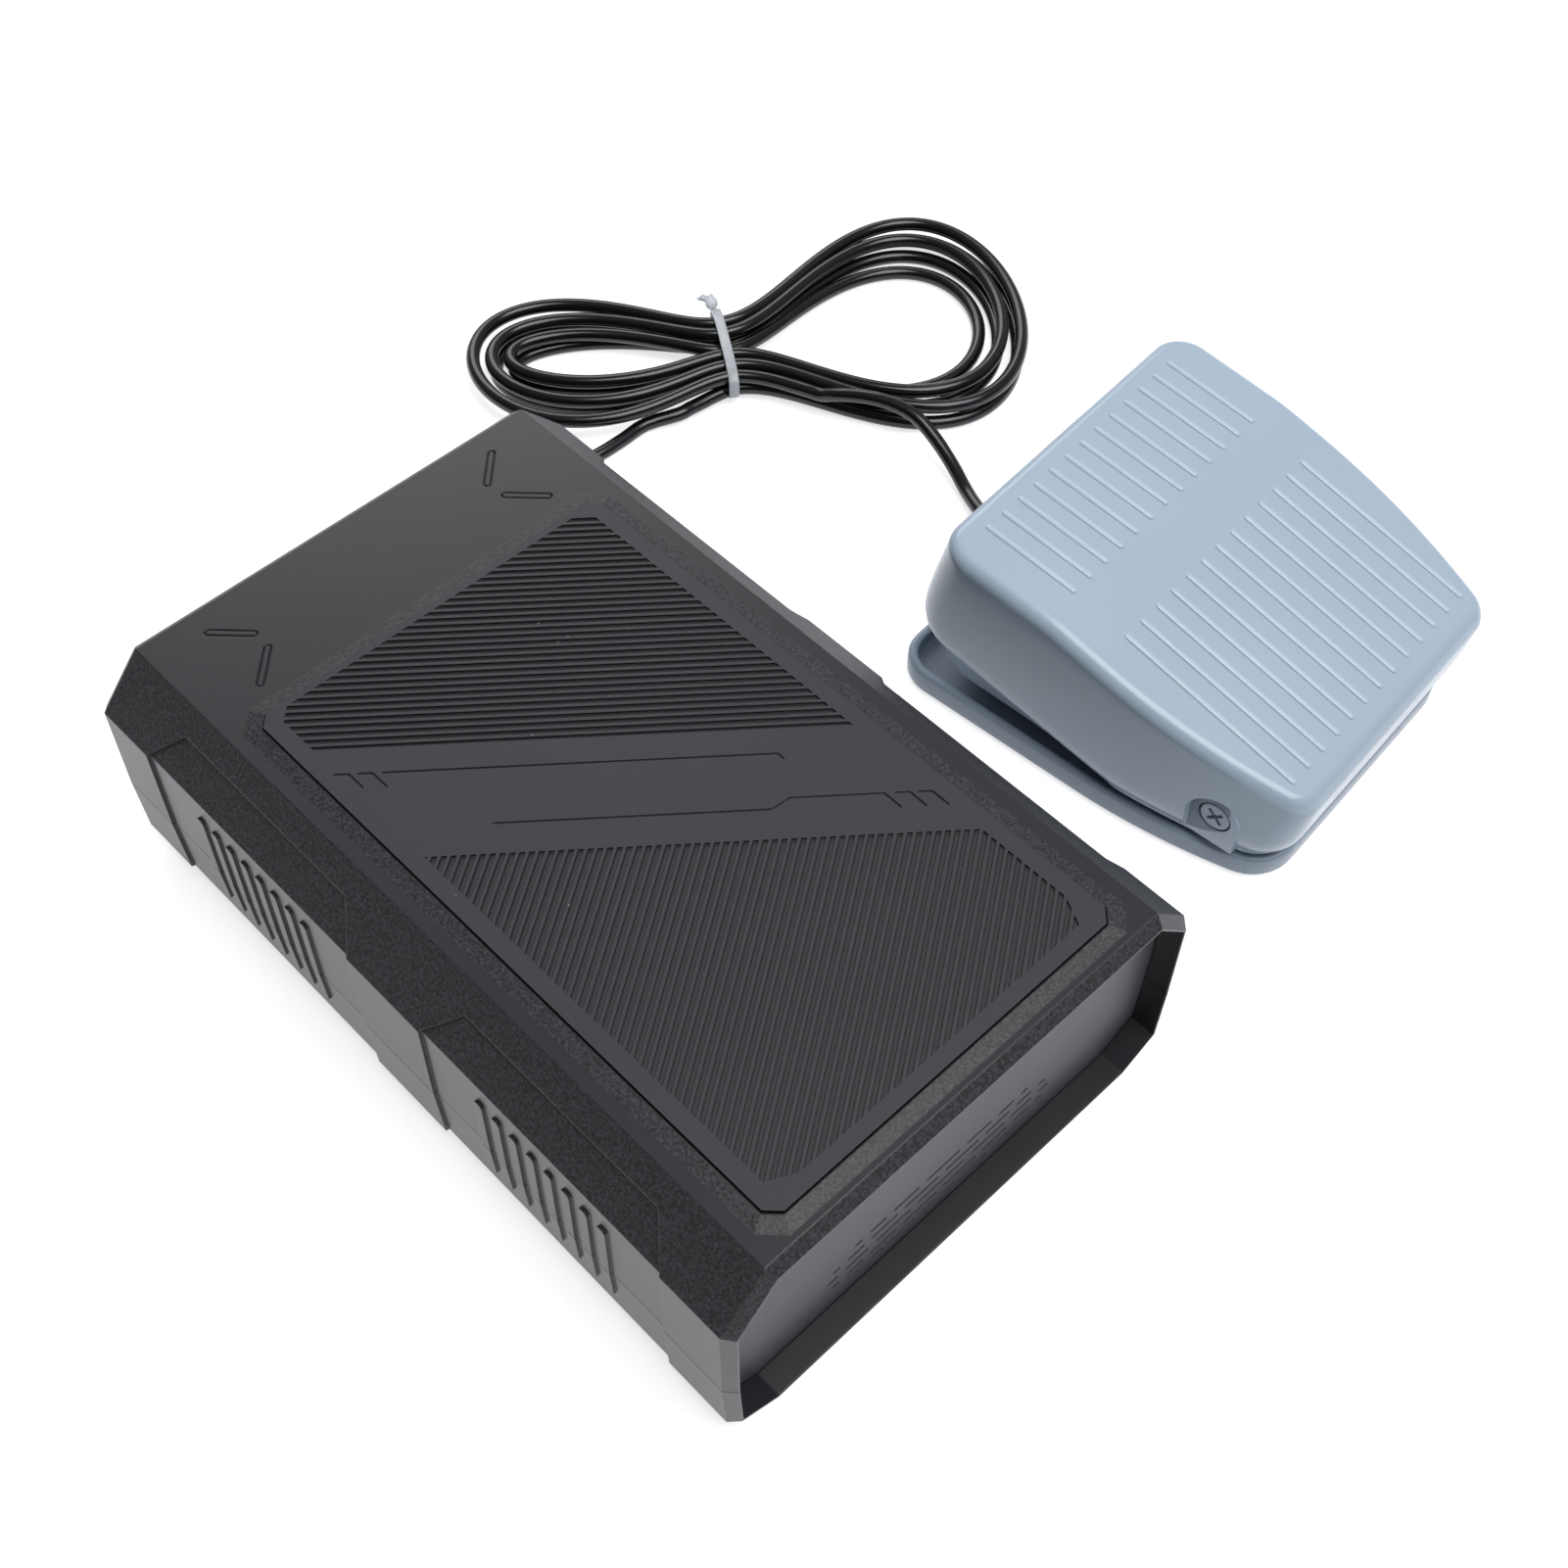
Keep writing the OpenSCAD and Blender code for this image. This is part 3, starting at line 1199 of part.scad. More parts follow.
module box_lead() {
    color("#151516") place_box() tube(box_route, cord_radius, 8);
}

module cord_hank() {
    color("#151516") place_box() tube(hank_route, cord_radius, 6);
}

module pedal_lead() {
    color("#151516") place_box() tube(pedal_route, cord_radius, 8);
}

// Least distance between runs of the hank that are not neighbours along it
hank_skip = hank_rings / 3;
hank_gap = min([for (i = [0:len(hank_path) - 1 - hank_skip]) for (j = [i + hank_skip:len(hank_path) - 1])
    norm(hank_path[i] - hank_path[j])]) - cord_dia;
echo(least_gap_in_hank = hank_gap);

// Cable tie: a strap drawn round the waist, its head on the far side
tie_thick = 1;
tie_half = waist_half + hank_waist_step * (hank_loops / 2 - 0.5) + cord_radius + 0.5;
tie_low = 0.2;
tie_top = cord_radius + waist_lift + layer_step + cord_radius + 0.4;
tie_round = 3;
tie_head = [4.6, 5, 4.2];
module cable_tie() {
    high = tie_top + tie_thick - tie_low;
    color("#e9edf0") place_box() translate([hank_at[0], hank_at[1], 0]) rotate([0, 0, hank_turn]) {
        translate([0, 0, tie_low + high / 2]) difference() {
            rounded_slab(-tie_wid / 2, tie_wid / 2, 2 * (tie_half + tie_thick), high, tie_round);
            rounded_slab(-tie_wid, tie_wid, 2 * tie_half, high - 2 * tie_thick, tie_round - tie_thick);
        }
        translate([-tie_head[0] / 2, tie_half + tie_thick - 0.1, tie_top - tie_head[2] - 1]) cube(tie_head);
        translate([-tie_wid / 2, tie_half + tie_thick + tie_head[1] - 0.2, tie_top - tie_head[2] / 2 - 1.5])
            cube([tie_wid, 5, tie_thick]);
    }
}

bottom_shell();
top_shell();
top_mat();
vent_plate();
rear_plate();
usb_socket();
usb_board();
control_board();
board_standoffs();
board_capacitors();
heat_sink();
terminal_block();
battery_tray();
battery_cells();
box_leads();
shell_screws();
box_feet();
box_gland();
pedal_base();
pedal_cover();
hinge_pins();
return_spring();
switch_body();
switch_plunger();
switch_lever();
switch_terminals();
switch_screws();
switch_leads();
cord_clamp();
clamp_screws();
pedal_gland();
pedal_feet();
box_lead();
cord_hank();
pedal_lead();
cable_tie();
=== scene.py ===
"""A wired foot switch: vented control box, hinged pedal, and the tied lead between them."""
import bmesh
import bpy
import math
from mathutils import Matrix, Vector


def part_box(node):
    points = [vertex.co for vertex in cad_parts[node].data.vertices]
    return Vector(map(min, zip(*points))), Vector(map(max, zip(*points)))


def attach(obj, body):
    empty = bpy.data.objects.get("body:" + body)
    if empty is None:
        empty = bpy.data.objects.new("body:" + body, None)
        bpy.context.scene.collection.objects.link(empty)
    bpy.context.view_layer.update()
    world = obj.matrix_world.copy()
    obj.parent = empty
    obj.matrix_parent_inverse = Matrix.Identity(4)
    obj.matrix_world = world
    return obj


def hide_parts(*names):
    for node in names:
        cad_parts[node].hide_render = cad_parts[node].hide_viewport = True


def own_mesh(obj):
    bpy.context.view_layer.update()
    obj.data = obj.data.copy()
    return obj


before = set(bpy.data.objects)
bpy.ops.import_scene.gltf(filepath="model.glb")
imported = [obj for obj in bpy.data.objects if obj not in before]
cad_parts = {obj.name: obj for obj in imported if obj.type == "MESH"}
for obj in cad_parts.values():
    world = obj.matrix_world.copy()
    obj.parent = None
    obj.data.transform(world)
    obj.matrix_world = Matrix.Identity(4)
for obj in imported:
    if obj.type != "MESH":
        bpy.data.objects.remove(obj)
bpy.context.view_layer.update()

# --- View, light and floor -------------------------------------------------
# The camera stands over the box's near front corner and looks down across
# both pieces. A broad lamp overhead and a weaker one far behind light them.
VIEW_RIGHT = Vector((0.695826, 0.718071, 0.014150))
VIEW_UP = Vector((-0.584226, 0.554448, 0.592678))
VIEW_BACK = Vector((0.417740, -0.420668, 0.805315))
VIEW_FROM = Vector((0.20297, -0.22092, 0.39850))

camera = bpy.data.objects.new("camera", bpy.data.cameras.new("camera"))
bpy.context.collection.objects.link(camera)
camera.matrix_world = Matrix((
    (VIEW_RIGHT.x, VIEW_UP.x, VIEW_BACK.x, VIEW_FROM.x),
    (VIEW_RIGHT.y, VIEW_UP.y, VIEW_BACK.y, VIEW_FROM.y),
    (VIEW_RIGHT.z, VIEW_UP.z, VIEW_BACK.z, VIEW_FROM.z),
    (0, 0, 0, 1)))
camera.data.lens = 48.1
camera.data.clip_start = 0.01
bpy.context.scene.camera = camera
bpy.context.scene.view_settings.view_transform = "Standard"


def linear(hex_colour):
    """sRGB hex to the linear values that shaders take."""
    shades = [int(hex_colour[i:i + 2], 16) / 255 for i in (1, 3, 5)]
    return [s / 12.92 if s <= 0.04045 else ((s + 0.055) / 1.055) ** 2.4 for s in shades] + [1.0]


def add_node(material, kind, links=(), **settings):
    """Adds a node. Settings name its properties, or its sockets as in_0 or in_Base_Color;
    links are (input, node, output)."""
    made = material.node_tree.nodes.new("ShaderNode" + kind)
    for name, value in settings.items():
        if name.startswith("in_"):
            key = name[3:]
            made.inputs[int(key) if key.isdigit() else key.replace("_", " ")].default_value = value
        else:
            setattr(made, name, value)
    for target, source, output in links:
        material.node_tree.links.new(source.outputs[output], made.inputs[target])
    return made


def new_material(name):
    material = bpy.data.materials.new(name)
    material.use_nodes = True
    material.node_tree.nodes.clear()
    return material


def soft_lamp(name, place, aim, size, watts):
    lamp = bpy.data.objects.new(name, bpy.data.lights.new(name, "AREA"))
    bpy.context.collection.objects.link(lamp)
    lamp.data.shape = "RECTANGLE"
    lamp.data.size, lamp.data.size_y = size
    lamp.data.energy = watts
    lamp.location = place
    lamp.rotation_euler = (Vector(aim) - Vector(place)).to_track_quat("-Z", "Y").to_euler()


soft_lamp("overhead_softbox", (0.45, 0.10, 1.25), (0.0, 0.05, 0.0), (0.9, 0.9), 15)
soft_lamp("back_softbox", (-0.95, 0.55, 0.75), (0.0, 0.05, 0.02), (0.8, 0.5), 4)

world = bpy.data.worlds.new("pale_room")
bpy.context.scene.world = world
world.use_nodes = True
world.node_tree.nodes.clear()
ray = add_node(world, "LightPath")
seen = add_node(world, "Math", [(0, ray, "Is Camera Ray"), (1, ray, "Is Transmission Ray")],
                operation="MAXIMUM")
around = add_node(world, "TexCoord")
# The room is pale behind the box and dark on the viewer's side.
PALE_SIDE = (-0.45, 0.75, 0.25)
behind = add_node(world, "VectorMath", [(0, around, "Generated")], operation="DOT_PRODUCT",
                  in_1=PALE_SIDE)
rise = add_node(world, "MapRange", [("Value", behind, "Value")], in_1=-0.5, in_2=0.8, in_3=0.10, in_4=0.50)
plain = add_node(world, "Background", [("Strength", rise, 0)], in_Color=linear("#e9ebf2"))
bright = add_node(world, "Background", in_Color=linear("#ffffff"), in_Strength=1.0)
room = add_node(world, "MixShader", [(0, seen, 0), (1, plain, 0), (2, bright, 0)])
add_node(world, "OutputWorld", [("Surface", room, 0)])

bpy.ops.mesh.primitive_plane_add(size=6, location=(0, 0, -0.0002))
floor = bpy.context.object
floor.name = "floor"
paper = new_material("matt white paper sweep")
ray = add_node(paper, "LightPath")
seen = add_node(paper, "Math", [(0, ray, "Is Camera Ray"), (1, ray, "Is Glossy Ray")], operation="MAXIMUM")
seen = add_node(paper, "Math", [(0, seen, 0), (1, ray, "Is Transmission Ray")], operation="MAXIMUM")
matt = add_node(paper, "BsdfDiffuse", in_Color=linear("#d4d6da"))
glow = add_node(paper, "Emission", in_Color=linear("#ffffff"), in_Strength=0.72)
lit = add_node(paper, "AddShader", [(0, matt, 0), (1, glow, 0)])
clear = add_node(paper, "MixShader", [(0, seen, 0), (1, matt, 0), (2, lit, 0)])
add_node(paper, "OutputMaterial", [("Surface", clear, 0)])
floor.data.materials.append(paper)

# --- Lead ------------------------------------------------------------------
# Two-core lead in a round black PVC sheath, 3.8 mm across. It leaves the box
# by the rear gland, is wound into five flat loops, and enters the pedal.
box_low, box_high = (Vector(corner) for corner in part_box("top_shell"))
BOX = Matrix.Translation(((box_low.x + box_high.x) / 2, (box_low.y + box_high.y) / 2, 0))
PEDAL_ALONG, PEDAL_ACROSS, PEDAL_TURN = -0.0088, 0.1432, math.radians(5.25)
PEDAL = (BOX @ Matrix.Translation((PEDAL_ALONG, PEDAL_ACROSS, 0))
         @ Matrix.Rotation(PEDAL_TURN, 4, "Z"))
LEAD_ACROSS = 0.0038
PEDAL_GLAND_Y, PEDAL_GLAND_Z = 0.008, 0.0043
HANK_AT = Vector((-0.122, 0.141, 0))
HANK_TURN = math.radians(59)
HANK_LOOPS = 5
# The hank's own sizes are in millimetres. Each lobe, the far one towards the
# pedal and the near one behind the box, has a reach, a half width and a bend.
FAR_TIP, FAR_LOBE, FAR_BEND = 83.6, 36.6, 5
NEAR_TIP, NEAR_LOBE, NEAR_BEND = 64.8, 19.8, 9
# Outer loops are larger by the steps. The upper layer swings out and lies
# higher, and every strand is lifted where all of them pass the waist.
TIP_STEP, LOBE_STEP, WAIST_STEP = 5, 7, 4.4
LAYER_SWING, LAYER_STEP = 3.5, 4.4
WAIST_HALF, WAIST_LIFT = 3.1, 1.4
TIP_ROUND, LOBE_FULL, END_FLARE = 8, 1.4, 9
LEAD_RADIUS_MM = LEAD_ACROSS * 500
LOOP_POINTS, END_POINTS = 72, 3


def hank_point(t):
    """Centre of the lead after t loops, from the box's middle: spiralling in on the lower
    layer, climbing at half way, and spiralling out on the upper one. Its lobes are drawn in
    a little, so that the rounder bends stay within the reach of the solid ones."""
    u = math.radians(90 - 360 * t)
    far = math.cos(u) > 0
    k = abs(HANK_LOOPS / 2 - t) - 0.5 + END_FLARE * max(0, -t, t - HANK_LOOPS)
    x = max(0, min(1, (t - HANK_LOOPS / 2) * 3 + 0.5))
    climb = x * x * (3 - 2 * x)
    swing = LAYER_SWING * (climb - 0.5)
    waist = WAIST_HALF + WAIST_STEP * k
    outer = k - HANK_LOOPS / 2 + 1
    lobe = (FAR_LOBE if far else NEAR_LOBE) + LOBE_STEP * outer + swing
    tip = (FAR_TIP if far else NEAR_TIP) + TIP_STEP * outer + swing
    bend = FAR_BEND if far else NEAR_BEND
    third = (LOBE_FULL * lobe - waist) / 2
    s = (tip - TIP_ROUND) * math.cos(u) + TIP_ROUND * math.cos(3 * u)
    n = (waist + third) * math.sin(u) + third * math.sin(3 * u) - bend * math.cos(u) ** 2
    z = LEAD_RADIUS_MM + LAYER_STEP * climb + WAIST_LIFT * math.sin(u) ** 6
    c, d = math.cos(HANK_TURN), math.sin(HANK_TURN)
    return HANK_AT + Vector((s * c + n * d, s * d - n * c, z)) / 1000


def level(v):
    return Vector((v.x, v.y, 0)).normalized()


hank = [hank_point(i / LOOP_POINTS)
        for i in range(-END_POINTS, HANK_LOOPS * LOOP_POINTS + END_POINTS + 1)]
# Each end runs on the way that its last tenth points.
END_INNER = 0.9 / 24
start_way = level(hank_point(-END_INNER) - hank[0])
end_way = level(hank[-1] - hank_point(HANK_LOOPS + END_INNER))
box_exit = Vector((-0.107, 0.036, 0.020))
pedal_exit = BOX.inverted() @ PEDAL @ Vector((-0.020, PEDAL_GLAND_Y, PEDAL_GLAND_Z))
# The free stretches, in millimetres from the box's middle.
box_way = [(-118.5, 37.5, 17.5), (-124, 42, 12.5), (-127.5, 49, 7.5), (-128, 57, 4), (-126.5, 65, 2.2),
           (-123, 74, 1.9), (-120.5, 83, 1.9), (-119, 92, 1.9), (-118.8, 101, 1.9), (-118.8, 109, 2.1)]
pedal_way = [(-86, 149.2, 9.4), (-80, 152.6, 10.6), (-73.5, 155.8, 10.7), (-66, 157.8, 9.8),
             (-58, 157.6, 7), (-50, 156, 4.2), (-42, 153, 2.6)]
step_in = (PEDAL.to_3x3() @ Vector((1, 0, 0))) * LEAD_ACROSS
route = [box_exit, box_exit - Vector((LEAD_ACROSS, 0, 0))]
route += [Vector(p) / 1000 for p in box_way]
route += [hank[0] - 2 * LEAD_ACROSS * start_way, hank[0] - LEAD_ACROSS * start_way] + hank
route += [hank[-1] + LEAD_ACROSS * end_way, hank[-1] + 2 * LEAD_ACROSS * end_way]
route += [Vector(p) / 1000 for p in pedal_way]
route += [pedal_exit - step_in, pedal_exit]
route = [BOX @ p for p in route]


def smoothed(points, steps):
    """A rounder line through the same points."""
    line = []
    for i in range(len(points) - 1):
        a, b = points[max(i - 1, 0)], points[i]
        c, d = points[i + 1], points[min(i + 2, len(points) - 1)]
        for k in range(steps):
            t = k / steps
            line.append(0.5 * (2 * b + (c - a) * t + (2 * a - 5 * b + 4 * c - d) * t * t
                               + (3 * b - a - 3 * c + d) * t ** 3))
    return line + [points[-1]]


lead_line = smoothed(route, steps=3)
curve = bpy.data.curves.new("lead", "CURVE")
curve.dimensions = "3D"
curve.bevel_depth = LEAD_ACROSS / 2
curve.bevel_resolution = 4
curve.use_fill_caps = True
spline = curve.splines.new("POLY")
spline.points.add(len(lead_line) - 1)
for point, place in zip(spline.points, lead_line):
    point.co = (*place, 1)
spline.use_smooth = True
lead = bpy.data.objects.new("lead", curve)
bpy.context.collection.objects.link(lead)


def moulded(name, colour, roughness, grain_mm=0.4, depth_mm=0.01, shade=0.06, edge_mm=0.0, deep=None):
    """A moulded polymer: one colour that drifts a little over a few centimetres, the fine
    grain of the mould as a bump, and, with edge_mm, corners that catch the light. With
    deep, what lies deep, from one place to another on an axis, is painted dark as shade."""
    material = new_material(name)
    place = add_node(material, "TexCoord")
    drift = add_node(material, "TexNoise", [("Vector", place, "Object")], in_Scale=30.0, in_Detail=0.0)
    base = linear(colour)
    darker = [c * (1 - shade) for c in base[:3]] + [1.0]
    lighter = [min(1.0, c * (1 + shade)) for c in base[:3]] + [1.0]
    tone = add_node(material, "Mix", [("Factor", drift, "Fac")], data_type="RGBA", in_6=darker, in_7=lighter)
    # Painted shade: towards dark_at on the axis the tone fades to near-black.
    if deep:
        axis, dark_at, lit_at = deep
        where = add_node(material, "SeparateXYZ", [("Vector", place, "Object")])
        lit = add_node(material, "MapRange", [("Value", where, axis)], in_1=dark_at, in_2=lit_at)
        tone = add_node(material, "Mix", [("Factor", lit, 0), (7, tone, 2)], data_type="RGBA",
                        in_6=linear("#070708"))
    grain = add_node(material, "TexNoise", [("Vector", place, "Object")], in_Scale=1000 / grain_mm,
                     in_Detail=2.0)
    links = [("Height", grain, "Fac")]
    if edge_mm:
        edge = add_node(material, "Bevel", in_Radius=edge_mm / 1000, samples=6)
        links.append(("Normal", edge, "Normal"))
    bump = add_node(material, "Bump", links, in_Strength=1.0, in_Distance=depth_mm / 1000)
    gloss = add_node(material, "MapRange", [("Value", drift, "Fac")], in_1=0.2, in_2=0.8,
                     in_3=roughness - 0.02, in_4=roughness + 0.02)
    skin = add_node(material, "BsdfPrincipled", [("Base Color", tone, 2), ("Roughness", gloss, 0),
                    ("Normal", bump, 0)])
    add_node(material, "OutputMaterial", [("Surface", skin, 0)])
    return material


sheath = moulded("black PVC sheath, extruded", "#0c0c0f", 0.2, grain_mm=1.2, depth_mm=0.012, shade=0.12)
lead.data.materials.append(sheath)
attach(lead, "root")
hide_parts("box_lead", "cord_hank", "pedal_lead")

# --- Cable tie -------------------------------------------------------------
# Soft clear nylon strap, drawn tight round the waist of the hank. Its head
# and the crumpled end of the strap stand on the far side.
TIE_HALF = 15.7 / 1000
TIE_FOOT, TIE_TOP = 0.2 / 1000, 11.0 / 1000
STRAP_WIDE, STRAP_THICK, STRAP_LEAN = 0.0028, 0.0009, 0.0006
TIE_HEAD_SIZE, TIE_HEAD_Z = (0.0040, 0.0032, 0.0036), 0.0086
TAIL_FROM, TAIL_LONG = 0.0024, 0.0030
CRUMPLE, CRUMPLE_RATE = 0.0006, 2600
HANK = BOX @ Matrix.Translation(HANK_AT) @ Matrix.Rotation(HANK_TURN, 4, "Z")


def nothing_chosen():
    if bpy.context.object and bpy.context.object.mode != "OBJECT":
        bpy.ops.object.mode_set(mode="OBJECT")
    bpy.ops.object.select_all(action="DESELECT")


def choose(kind, test):
    """In edit mode, selects the verts, edges or faces that pass the test."""
    shape = bmesh.from_edit_mesh(bpy.context.edit_object.data)
    bpy.ops.mesh.select_mode(type=kind)
    bpy.ops.mesh.select_all(action="DESELECT")
    for item in {"VERT": shape.verts, "EDGE": shape.edges, "FACE": shape.faces}[kind]:
        item.select_set(bool(test(item)))
    bmesh.update_edit_mesh(bpy.context.edit_object.data)


def finish_piece(piece, name, place, smooth=35):
    """Names the piece, puts it in place and leaves its place in its mesh."""
    nothing_chosen()
    piece.name = piece.data.name = name
    piece.matrix_world = place @ piece.matrix_world
    piece.select_set(True)
    bpy.context.view_layer.objects.active = piece
    bpy.ops.object.transform_apply(location=True, rotation=True, scale=True)
    bpy.ops.object.shade_smooth_by_angle(angle=math.radians(smooth))
    return piece


def modify(piece, kind, **settings):
    """Adds a modifier and applies it."""
    bpy.ops.object.mode_set(mode="OBJECT")
    bpy.context.view_layer.objects.active = piece
    made = piece.modifiers.new(kind.lower(), kind)
    for name, value in settings.items():
        setattr(made, name, value)
    bpy.ops.object.modifier_apply(modifier=made.name)


def join_pieces(main, others):
    """Joins the others into the main piece."""
    nothing_chosen()
    for part in others:
        part.select_set(True)
    main.select_set(True)
    bpy.context.view_layer.objects.active = main
    bpy.ops.object.join()
    return main


def cut(piece, tool):
    """Cuts the tool's shape out of the piece."""
    modify(piece, "BOOLEAN", operation="DIFFERENCE", object=tool, solver="EXACT")
    bpy.data.objects.remove(tool)


def round_bar(radius, length, place, axis="Z", vertices=40):
    """A plain bar along an axis, to be shaped or to cut with."""
    turn = {"Z": (0, 0, 0), "Y": (math.pi / 2, 0, 0), "X": (0, math.pi / 2, 0)}[axis]
    nothing_chosen()
    bpy.ops.mesh.primitive_cylinder_add(vertices=vertices, radius=radius, depth=length, location=place,
                                        rotation=turn)
    bar = bpy.context.object
    bpy.ops.object.transform_apply(location=True, rotation=True)
    return bar


def block(size, place):
    nothing_chosen()
    bpy.ops.mesh.primitive_cube_add(size=1, location=place, scale=size)
    made = bpy.context.object
    bpy.ops.object.transform_apply(location=True, scale=True)
    return made


nothing_chosen()
bpy.ops.mesh.primitive_cylinder_add(vertices=72, radius=1, depth=STRAP_WIDE, end_fill_type="NOTHING",
                                    location=(0, 0, 0), rotation=(0, math.pi / 2, 0))
strap = bpy.context.object
bpy.ops.object.transform_apply(rotation=True)
for vert in strap.data.vertices:
    x, y, z = vert.co
    squarer = (abs(y) ** 3 + abs(z) ** 3) ** (-1 / 3)
    vert.co = (x + STRAP_LEAN * y, y * squarer * TIE_HALF,
               (TIE_TOP + TIE_FOOT) / 2 + z * squarer * (TIE_TOP - TIE_FOOT) / 2)
modify(strap, "SOLIDIFY", thickness=STRAP_THICK, offset=-1)
modify(strap, "BEVEL", width=0.0003, segments=2, limit_method="ANGLE")
strap = finish_piece(strap, "tie_strap", HANK)

head = block(TIE_HEAD_SIZE, (0, TIE_HALF + 0.0010, TIE_HEAD_Z))
bpy.ops.object.mode_set(mode="EDIT")
choose("FACE", lambda f: f.normal.y > 0.9)
bpy.ops.mesh.inset(thickness=0.0004)
bpy.ops.mesh.extrude_region_move(TRANSFORM_OT_translate={"value": (-0.0006, 0.0011, -0.0002)})
bpy.ops.transform.resize(value=(1.5, 1, 0.5), center_override=(-0.0006, TIE_HALF + 0.0037, 0.0084))
bpy.ops.mesh.extrude_region_move(TRANSFORM_OT_translate={"value": (-0.0012, 0.0014, 0.0004)})
bpy.ops.transform.resize(value=(1.3, 1, 0.6), center_override=(-0.0018, TIE_HALF + 0.0051, 0.0088))
modify(head, "SUBSURF", levels=2, render_levels=2)
for vert in head.data.vertices:
    fan = max(0.0, vert.co.y - TIE_HALF - TAIL_FROM) / TAIL_LONG
    vert.co.z += CRUMPLE * fan * math.sin(vert.co.x * CRUMPLE_RATE)
tie_head = finish_piece(head, "tie_head", HANK, smooth=60)

# Nylon 6: milky and see-through at its edges, with a soft shine.
nylon = new_material("natural nylon, injection moulded")
place = add_node(nylon, "TexCoord")
cloud = add_node(nylon, "TexNoise", [("Vector", place, "Object")], in_Scale=420.0, in_Detail=3.0)
milk = add_node(nylon, "Mix", [("Factor", cloud, "Fac")], data_type="RGBA",
                in_6=linear("#b9bfc6"), in_7=linear("#eef1f4"))
ripple = add_node(nylon, "Bump", [("Height", cloud, "Fac")], in_Distance=0.0002)
skin = add_node(nylon, "BsdfPrincipled", [("Base Color", milk, 2), ("Normal", ripple, 0)],
                in_Roughness=0.32, in_Transmission_Weight=0.45, in_IOR=1.53)
add_node(nylon, "OutputMaterial", [("Surface", skin, 0)])
for part in (strap, tie_head):
    part.data.materials.append(nylon)
    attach(part, "root")
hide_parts("cable_tie")

# --- Box shells ------------------------------------------------------------
# Two ABS mouldings that meet at a line low on the sides. Their mould is
# spark-eroded on its slopes, and polished to satin on its flats.


def dress(material, *nodes):
    """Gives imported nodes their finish."""
    for name in nodes:
        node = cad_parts[name]
        if not node.material_slots:
            node.data.materials.append(material)
        for held in node.material_slots:
            held.material = material


# The eroded grain is drawn coarser than it is, so that it shows. It lies on the
# slopes that face up and not on walls, flats or what is low on the box.
GRAIN_MM, GRAIN_FROM = 0.6, 0.02
shell_skin = new_material("black ABS, spark-eroded mould")
place = add_node(shell_skin, "TexCoord")
facing = add_node(shell_skin, "SeparateXYZ", [("Vector", place, "Normal")])
above_wall = add_node(shell_skin, "MapRange", [("Value", facing, "Z")], in_1=0.2, in_2=0.4)
below_flat = add_node(shell_skin, "MapRange", [("Value", facing, "Z")],
                      in_1=0.985, in_2=0.995, in_3=1.0, in_4=0.0)
slope = add_node(shell_skin, "Math", [(0, above_wall, 0), (1, below_flat, 0)], operation="MULTIPLY")
where = add_node(shell_skin, "SeparateXYZ", [("Vector", place, "Object")])
outside = add_node(shell_skin, "Math", [(0, where, "Z")], operation="GREATER_THAN",
                   in_1=GRAIN_FROM)
slope = add_node(shell_skin, "Math", [(0, slope, 0), (1, outside, 0)], operation="MULTIPLY")
drift = add_node(shell_skin, "TexNoise", [("Vector", place, "Object")], in_Scale=30.0, in_Detail=3.0)
satin = add_node(shell_skin, "Mix", [("Factor", drift, "Fac")], data_type="RGBA",
                 in_6=linear("#1e1d22"), in_7=linear("#232227"))
grain = add_node(shell_skin, "TexNoise", [("Vector", place, "Object")], in_Scale=1000 / GRAIN_MM,
                 in_Detail=1.0)
# The grain's pale flecks are partly its own tone and partly painted glints.
pits_and_glints = add_node(shell_skin, "MapRange", [("Value", grain, "Fac")], in_1=0.35, in_2=0.7)
eroded = add_node(shell_skin, "Mix", [("Factor", pits_and_glints, 0)], data_type="RGBA",
                  in_6=linear("#0e0d10"), in_7=linear("#3a393e"))
tone = add_node(shell_skin, "Mix", [("Factor", slope, 0), (6, satin, 2), (7, eroded, 2)], data_type="RGBA")
gloss = add_node(shell_skin, "MapRange", [("Value", slope, 0)], in_3=0.36, in_4=0.5)
depth = add_node(shell_skin, "MapRange", [("Value", slope, 0)], in_3=0.000006, in_4=0.00005)
edge = add_node(shell_skin, "Bevel", in_Radius=0.0005, samples=6)
bump = add_node(shell_skin, "Bump", [("Height", grain, "Fac"), ("Distance", depth, 0),
                ("Normal", edge, "Normal")])
skin = add_node(shell_skin, "BsdfPrincipled", [("Base Color", tone, 2), ("Roughness", gloss, 0),
                ("Normal", bump, 0)])
add_node(shell_skin, "OutputMaterial", [("Surface", skin, 0)])
dress(shell_skin, "top_shell", "bottom_shell")

# --- Top mat ---------------------------------------------------------------
# Thermoplastic rubber pad, pressed into the framed pocket. Two fields of
# fine grooves leave a smooth band across it, where a line pattern is cut.
mat_skin = new_material("charcoal rubber pad, moulded")
place = add_node(mat_skin, "TexCoord")
drift = add_node(mat_skin, "TexNoise", [("Vector", place, "Object")], in_Scale=30.0, in_Detail=4.0)
tone = add_node(mat_skin, "Mix", [("Factor", drift, "Fac")], data_type="RGBA",
                in_6=linear("#28272c"), in_7=linear("#2e2d32"))
# The grooves and the cut lines, below the mat's top face, are painted dark as shade.
# A groove's painted shade is darkest along both walls and paler between them.
MAT_LOW, MAT_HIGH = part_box("top_mat")
GROOVE_PITCH, GROOVE_HALF = 0.00182, 0.00055
BAND_TURN, FRONT_TURN = math.radians(50), math.radians(124)
BAND_MIDDLE = 0.0057
REAR_START = 0.0015


